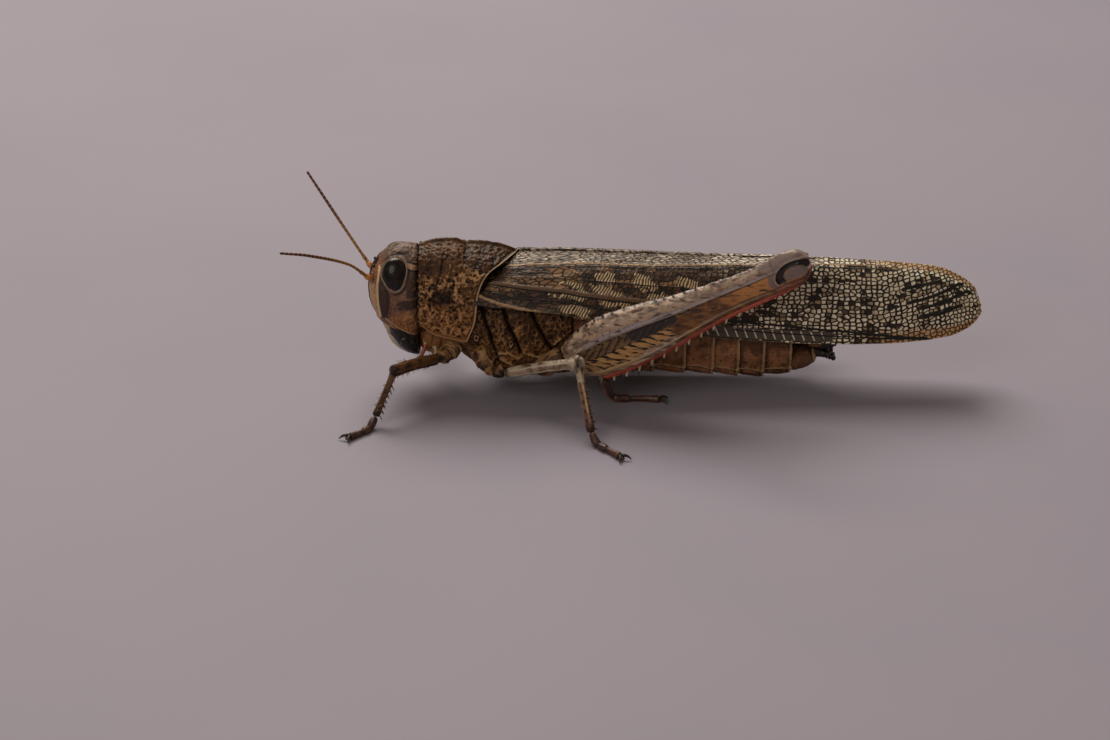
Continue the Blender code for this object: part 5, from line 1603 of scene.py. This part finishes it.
# Distance from the hip, outward offset, height over and under the line, half thickness
HIND_THIGH = [
    (0.0, 0.00, 0.55, 1.05, 0.65), (1.0, 0.15, 1.20, 2.70, 1.10), (2.6, 0.40, 1.85, 3.45, 1.40),
    (4.6, 0.85, 2.35, 3.40, 1.45), (8.4, 1.35, 2.35, 3.05, 1.40), (12.0, 1.50, 1.90, 2.45, 1.25),
    (15.8, 1.50, 1.58, 1.90, 1.00), (19.5, 1.65, 1.45, 1.65, 0.85), (21.6, 1.72, 1.62, 1.68, 0.88),
    (23.4, 1.78, 1.92, 1.70, 1.00), (25.0, 1.85, 1.80, 1.45, 0.95), (25.9, 1.90, 0.80, 0.60, 0.50),
]
SHIN_DISTANCES = [24.9, 24.2, 21.0, 16.0, 11.0, 6.0, 2.6]
SHIN_UNDER = 0.30                   # the folded shin's centre line under the thigh's lower edge
KNEE_DEPTH = {24.9: 0.1, 24.2: 0.62, 21.0: 0.9}     # inside the knee it runs nearer the middle
SHIN_RADII = [(0, 0.42, 0.5), (0.06, 0.45, 0.5), (0.12, 0.36, 0.42), (0.3, 0.34, 0.38),
              (0.8, 0.38, 0.42), (0.96, 0.50, 0.52), (1, 0.46, 0.46)]
HIND_HIP_PATH = [(16.9, 4.0, 4.0), (17.6, 4.75, 3.9), (18.6, 5.05, 5.0), (19.4, 5.3, 5.5)]
HIND_HIP_RADII = [(0, 1.0, 1.0), (0.3, 0.95, 0.95), (0.6, 0.85, 0.9), (1, 0.6, 0.7)]
HIND_FOOT = [(24.2, 4.7, 0.62), (25.7, 4.6, PAD), (27.2, 4.6, PAD), (28.8, 4.75, PAD)]
# The plates on the thigh, in shares of its height from the top and in mm along it
UPPER_KEEL, MEDIAL_TOP, PLATE_LINE, MEDIAL_LOW = 0.30, 0.34, 0.55, 0.79
UPPER_CHEVRON = 0.87
LOWER_CHEVRON = 1.0
CHEVRON_SLANT = 6.8
KNEE_DISTANCE = 24.25
KNEE_HEIGHT = -0.2


def thigh_line(distance, rise):
    """Places on the middle line of the thigh, and the direction that is up across it."""
    along = np.array((math.cos(rise), 0, math.sin(rise)))
    up = np.array((-math.sin(rise), 0, math.cos(rise)))
    offset = smooth([(row[0], row[1]) for row in HIND_THIGH], distance)[0]
    centre = HIND_HIP + np.multiply.outer(distance, along)
    return centre + np.multiply.outer(offset, (0, 1.0, 0)), up


def make_hind_thigh(side, word, finish):
    """The jumping thigh with its keels and herringbone, and the knee in one piece with it."""
    rise = KNEE_RISE[word]
    distance = np.concatenate([np.linspace(0, 0.5, 8)[:-1], np.linspace(0.5, 25.2, 300),
                               np.linspace(25.3, 25.9, 9)])
    turn = turns(150)
    rise_mm, drop_mm, thick = [v[:, None] for v in smooth(HIND_THIGH, distance)[1:]]
    d = distance[:, None]
    s, c = np.sin(turn), np.cos(turn)
    furrow = window(d, 3.0, 6.0, 24.0, 25.2)
    lower = 1 + 0.17 * furrow * hump(s + 0.80, 0.22) - 0.20 * furrow * hump(c, 0.35)
    height = np.where(s > 0, rise_mm * s, drop_mm * s * lower)
    across = -thick * bulge(c, 0.85)
    centre, up = thigh_line(distance, rise)
    p = centre[:, None, :] + height[..., None] * up + across[..., None] * np.array((0, 1.0, 0))
    depth = rise_mm + drop_mm
    down = (rise_mm - height) / depth
    face = step(np.abs(c), 0.12, 0.3)
    top = s > 0
    inner_amount = np.where(c > 0, 0.75, 1.0)
    body = window(d, 0.8, 2.0, 20.6, 22.4)

    # Herringbone plates between the keels, split by a middle line
    crooked = down + 0.012 * grain(p, 1.1, 12)
    medial = band(crooked, MEDIAL_TOP, MEDIAL_LOW, 0.02) * face * body
    plates = medial * step(d, 14.0, 10.0)
    under = step(crooked, PLATE_LINE - 0.012, PLATE_LINE + 0.012)
    reach = np.abs(down - PLATE_LINE)
    spacing = np.where(down < PLATE_LINE, UPPER_CHEVRON, LOWER_CHEVRON)
    phase = (d - CHEVRON_SLANT * reach + 0.22 * grain(p, 1.3, 5)) / spacing
    seam = (phase % 1) - 0.5
    worn = step(grain(p, 0.9, 13), -0.75, -0.2)
    stroke = hump(seam, 0.15) * plates * (1 - 0.3 * under) * worn
    hole_rows = (1.2 * hump(down - 0.60, 0.032) + 1.2 * hump(down - 0.755, 0.028)
                 + 0.7 * hump(down - 0.45, 0.015))
    holes = hump(seam, 0.21) * hole_rows * plates
    spine_line = hump(crooked - PLATE_LINE, 0.018) * plates

    # Keels along the leg, beaded and toothed
    upper_keel = hump(down - UPPER_KEEL, 0.024) * face * window(d, 0.8, 2.0, 22.5, 24.0)
    lower_keel = hump(down - 0.875, 0.025) + 0.5 * hump(down - 0.965, 0.02)
    lower_keel = lower_keel * window(d, 1.0, 2.5, 22.5, 24.0)
    beads = hump(((d + 0.3 * grain(p, 2.0, 14)) / 1.08) % 1 - 0.5, 0.14)
    keel_dots = beads * hump(down - 0.335, 0.022) * face * body * step(d, 17.0, 15.0)
    beads = hump(((d + 0.35 * grain(p, 2.0, 15)) / 1.0) % 1 - 0.5, 0.15)
    edge_dots = beads * hump(c + 0.05, 0.2) * top * body
    crest = hump(c, 0.22) * top * window(d, 1.0, 2.5, 23, 24.5)
    tooth = unit(grain(p * (1, 0.2, 0.2), 0.28, 6))

    # The knee: an oval lobe of the shin in a dark crescent opening under the upper arch
    flat = p[..., (0, 2)] - centre_point(rise, KNEE_DISTANCE, KNEE_HEIGHT)
    ahead = flat @ (math.cos(rise), math.sin(rise))
    above = flat @ (-math.sin(rise), math.cos(rise))
    oval = np.hypot(ahead / 1.2, above / 0.78) + 0.05 * grain(p, 0.8, 11)
    over = step(above - 0.25 * ahead, -0.45, 0.0)
    opening = band(oval, 1.08, 1.66, 0.12) * over * face
    disc = step(oval, 1.12, 0.98) * face
    arch = band(oval, 1.72, 2.4, 0.15) * over * face
    boss = hump(np.hypot(ahead - 0.55, above - 0.72), 0.2) * face
    relief = (0.13 * upper_keel + 0.10 * lower_keel - 0.10 * hump(down - 0.82, 0.02) * face
              - 0.08 * medial + 0.10 * stroke - 0.06 * holes + 0.05 * spine_line
              + 0.05 * medial * hump(seam - 0.25, 0.2) * plates
              + crest * (0.08 + 0.14 * tooth) + 0.03 * grain(p, 0.8, 8)
              + 0.10 * hump(oval - 1.78, 0.12) * over * face + 0.05 * arch
              - 0.30 * opening + 0.05 * disc * (1 - 0.6 * hump(oval, 0.5)) + 0.14 * boss
              - 0.12 * hump(oval - 1.06, 0.08) * face
              - 0.05 * hump(d - 22.2, 0.12))

    # Blots of pigment: a wedge and two rings
    wedge = from_line(d + 0 * down, down * 5, [(7.6, 2.05), (9.6, 2.03), (11.4, 1.88)])
    wedge = step(wedge, 0.80, 0.45) * face
    ring = np.hypot(d - 15.7, (down - 0.47) * depth)
    ring_two = np.hypot(d - 17.8, (down - 0.42) * depth)
    fleshy = step(0.7 * grain(p * (0.4, 1, 1), 0.9, 17) + 0.2, 0.0, 0.45)
    lower_line = 0.9 * hump(down - 0.825, 0.013) * face * body
    marks = {
        "middle": medial,
        "upper_plate": plates * (1 - under) * (1 - 0.5 * step(d, 8.0, 12.5)),
        "lower_plate": (plates * under * step(d, 14.0, 9.0)
                        + 0.5 * band(down, 0.80, 0.95, 0.03) * step(d, 10, 5)),
        "bruise": (hump(d - 10.2, 1.1) * band(down, 0.08, 0.24, 0.04)
                   + 0.7 * hump(d - 2.2, 1.6) * band(down, 0.05, 0.25, 0.06)
                   + 0.5 * hump(d - 15.5, 1.2) * band(down, 0.05, 0.2, 0.05)),
        "lilac": band(down, 0.215, 0.29, 0.03) * step(d, 0.8, 3.0) * 0.8
                 + 0.5 * hump(c, 0.15) * top,
        # The broad pale spot high on the knee disc is a painted highlight.
        "rim": (0.8 * hump(oval - 1.78, 0.1) * over * face
                + 0.5 * disc * hump(np.hypot(ahead, above - 0.25), 0.45)),
        "flesh": band(down, 0.10, 0.22, 0.05) * fleshy,
        "amber": window(d, 9.5, 12.5, 23.4, 24.4) * step(down, 0.30, 0.36),
        "honey": window(d, 14.0, 20.5, 23.6, 24.6) * band(down, 0.33, 0.80, 0.06),
        "rust": (step(d, 20.5, 23.5) * step(down, 0.62, 0.8)
                 + 0.5 * band(down, 0.08, 0.2, 0.04) * step(d, 12.5, 16.0)),
        "blotch": unit(wedge * inner_amount + 0.6 * hump(ring - 0.42, 0.22) * face
                       + 0.45 * hump(ring_two - 0.45, 0.2) * face
                       + 0.35 * hump(down - 0.62, 0.03) * step(d, 9.0, 13.0)
                       * step(d, 20.0, 15.0)),
        "keel": unit(0.45 * upper_keel + 0.9 * lower_keel + 0.25 * crest * (1 - tooth))
                * (1 - 0.55 * step(d, 12.0, 18.0)),
        # The knee disc is painted grey only on its upper part, so its lower part stays darker as
        # painted shade.
        "grey": unit(0.8 * arch + 0.9 * disc * step(above, -0.75, -0.1)
                     + 0.7 * step(down, 0.30, 0.22) * step(d, 18.5, 22) + 0.9 * upper_keel),
        "chevron": unit(stroke * 1.05 * inner_amount + 0.8 * holes
                        + 0.6 * spine_line * step(d, 12, 9)),
        "dark_line": unit(0.9 * holes * under + lower_line * step(grain(p, 2.0, 16), -0.5, 0.1)
                          + opening
                          # A dark ring under the knee disc: painted shadow.
                          + 0.7 * hump(oval - 1.05, 0.06) * face * step(above, 0.2, -0.5)
                          + keel_dots + edge_dots + 0.5 * crest * unit(tooth * 2 - 0.5)
                          + 0.7 * hump(down - 0.345, 0.008) * face * body
                          + 0.3 * hump(d - 22.2, 0.1)),
    }
    loft("jumping_thigh_" + word, raised(mirrored(p, side), relief), finish, marks,
         nodes=("hind_femur_" + word,), slot="hind_thigh")


def centre_point(rise, distance, height):
    """x and z of a place on the thigh, distance along it and height over its line."""
    centre, up = thigh_line(np.array(distance), rise)
    return (centre + up * height)[[0, 2]]


def shin_path(word, side):
    """The folded hind shin's line, from the knee forward to the foot."""
    rise = KNEE_RISE[word]
    points = []
    for distance in SHIN_DISTANCES:
        drop = smooth([(row[0], row[3]) for row in HIND_THIGH], distance)[0]
        centre, up = thigh_line(np.array(distance), rise)
        tuck = np.array((0, 0.35 * (1 - distance / HIND_THIGH[-1][0]), 0))
        under = drop * KNEE_DEPTH.get(distance, 1.0) + SHIN_UNDER
        points.append(mirrored(centre - up * under - tuck, side))
    return points


def make_hind_shin(side, word, finish, thorn):
    """The folded shin, its two rows of thorns and its four spurs."""
    path = shin_path(word, side)
    p, share, turn = limb_grid(path, SHIN_RADII, 260, 44)
    rib = np.abs(np.cos(2 * math.pi * turn)) ** 8
    # The ribs are painted pale as a painted highlight; the end inside the knee is painted dark as
    # painted shade.
    marks = {"shade": step(share, 0.05, 0.02) * 0.7 + 0.6 * hump(share - 0.985, 0.01),
             "ridge": 0.7 * rib}
    loft("hind_shin_" + word, raised(p, 0.04 * rib + 0.02 * grain(p, 0.5, 97)), finish, marks,
         nodes=("hind_tibia_" + word,), slot="hind_shin")
    roots, tips = [], []
    for row, count in ((-1, 11), (1, 12)):
        shares = np.linspace(0.34, 0.95, count) + 0.008 * row
        centres = route(path, shares)
        ahead = route(path, shares + 0.01) - centres
        sizes = np.linspace(0.80, 1.12, count)
        for centre, along, size in zip(centres, ahead, sizes):
            along = along / np.linalg.norm(along)
            outward = np.array((0.0, row * 0.62, -0.78))
            root = centre + outward * 0.28
            roots.append(root)
            tips.append(root + (outward * 1.25 + along * 0.2) * size)
    end = np.array(path[-1])
    for k in range(4):
        lean = np.array((-0.35, 0.55 * (-1) ** k, -0.35 - 0.3 * (k // 2)))
        roots.append(end + lean * 0.4)
        tips.append(end + lean * 1.5)
    spikes("hind_shin_spines_" + word, roots, tips, 0.125, thorn, bend=0.1, slot="hind_shin")


def make_hind_leg(side, word, finishes):
    """Hip, thigh, folded shin and foot of a jumping leg."""
    p, share, turn = limb_grid(mirrored(HIND_HIP_PATH, side), HIND_HIP_RADII, 70, 80)
    height, marks = leg_marks(p, share, turn, ribs=3, seed=4)
    loft("hind_hip_" + word, raised(p, height + 0.06 * wrinkles(p, 0.5, 99)), finishes["hip"], marks,
         nodes=("hind_coxa_" + word,), slot="thorax")
    make_hind_thigh(side, word, finishes["jump"])
    make_hind_shin(side, word, finishes["red"], finishes["thorn"])
    end = np.array(shin_path(word, side)[-1])
    heel = end + (0.1, -0.6 * side, -0.6)
    make_foot("hind", side, word, [mirrored(heel, side)] + HIND_FOOT, finishes["foot"])


# ---- Floor, light and camera ----

AIM = (18.5, 0.0, 1.3)              # the camera looks at this point of the insect's frame
CAMERA_DISTANCE = 308.3
CAMERA_RISE = math.radians(25)
LAMP_AIM = (0, 0, 0.01)             # this and the rest of the studio are in the row frame, metres
FLOOR_HALF = 1.5


def make_camera():
    """A long lens that looks a little down on the insect's left side."""
    data = bpy.data.cameras.new("camera")
    data.lens = 100.0
    data.sensor_width = 36.0
    data.clip_start = 0.01
    data.clip_end = 10.0
    camera = link("camera", data)
    away = np.array((0, -math.cos(CAMERA_RISE), math.sin(CAMERA_RISE))) * CAMERA_DISTANCE
    camera.location = place(np.array(AIM) + away)
    camera.rotation_euler = (math.pi / 2 - CAMERA_RISE, 0, 0)
    bpy.context.scene.camera = camera


def make_light(name, place_m, size, power, colour):
    """A round soft lamp that looks at the insect."""
    data = bpy.data.lights.new(name, "AREA")
    data.shape = "DISK"
    data.size = size
    data.energy = power
    data.color = linear(colour)[:3]
    lamp = link(name, data)
    lamp.location = place_m
    towards_insect = Vector(LAMP_AIM) - Vector(place_m)
    lamp.rotation_euler = towards_insect.to_track_quat("-Z", "Y").to_euler()


def make_studio():
    """A pale floor under one large soft lamp high behind the insect, and dim light all round."""
    bpy.context.scene.view_settings.view_transform = "Standard"
    world = bpy.data.worlds.new("studio")
    bpy.context.scene.world = world
    world.use_nodes = True
    ground = world.node_tree.nodes["Background"]
    ground.inputs["Color"].default_value = linear("#c6b8a6")
    ground.inputs["Strength"].default_value = 0.30
    make_light("key_lamp", (-0.10, 0.30, 0.42), 0.40, 2.85, "#fff4e8")
    make_light("fill_lamp", (-0.22, -0.36, 0.30), 0.30, 0.55, "#fff2e6")
    mesh = bpy.data.meshes.new("floor")
    corners = [(x * FLOOR_HALF, y * FLOOR_HALF, 0) for x, y in ((-1, -1), (1, -1), (1, 1), (-1, 1))]
    mesh.from_pydata(corners, [], [(0, 1, 2, 3)])
    floor = link("floor", mesh)
    material, tree, mm = start_finish("pale_floor", 0.7, IOR=1.45)
    mesh.materials.append(end_finish(material, "#938e9c", [
        (mottle(tree, mm, 40.0), 0.35, 0.7, "#8f8b99")]))


# ---- Assembly ----

def main():
    head = head_finish()
    lenses = eye_finish()
    feeler = antenna_finish()
    lip = lip_finish()
    jaw = jaw_finish()
    saddle = sclerite_finish("wrinkled_saddle_cuticle", "#261912", "#634328", "#bd9265")
    walls = sclerite_finish("netted_thorax_cuticle", "#180f09", "#452d19", "#b18352")
    rings = sclerite_finish("leathery_belly_cuticle", "#573a27", "#9f6d4c", "#bd9670")
    tail_plates = sclerite_finish("dark_tail_cuticle", "#33221a", "#6d4a34", "#b0916f")
    pale_thorn = spine_finish("pale_shin_thorn", "#c9b79a", "#17100c")
    shared = {
        "hip": leg_finish("brown_hip_cuticle", "#573a23", "#9a744c", "#2a1a0d", "#150d08", 0.45),
        "foot": foot_finish(),
        "hair": spine_finish("fine_leg_hair", "#a08a6c", "#5a4632"),
        "spine": spine_finish("dark_leg_thorn", "#4a3020", "#120d0a"),
    }
    front = {
        "thigh": leg_finish("front_thigh_cuticle", "#4c2e15", "#664222", "#2a190d", "#150d08", 0.5),
        "shin": leg_finish("front_shin_cuticle", "#4f3019", "#6e4a2b", "#301c10", "#1b110b", 0.5),
        **shared}
    middle = {
        "thigh": leg_finish("middle_thigh_cuticle", "#a08b76", "#c2b29e", "#6e5947", "#2c2118"),
        "shin": leg_finish("middle_shin_cuticle", "#7a5440", "#a89680", "#4e3326", "#1f140e"),
        **shared}
    hind = {"jump": thigh_finish(), "red": shin_finish(), "thorn": pale_thorn, **shared}
    make_head(head)
    make_ocelli(lenses)
    make_labrum(lip)
    make_mouth_underside(lip)
    make_pronotum(saddle)
    make_thorax(walls)
    make_throat(walls)
    make_abdomen(rings)
    make_tail(tail_plates, jaw)
    wing = wing_finish()
    fan = hind_wing_finish()
    for side, word in SIDES:
        make_eye(side, word, lenses)
        make_antenna(word, feeler)
        make_mandible(side, word, jaw)
        make_tegmen(side, word, wing)
        make_hind_wing(side, word, fan)
        make_walking_leg("front", side, word, front)
        make_walking_leg("middle", side, word, middle)
        make_hind_leg(side, word, hind)
    make_camera()
    make_studio()


main()
bpy.context.view_layer.update()
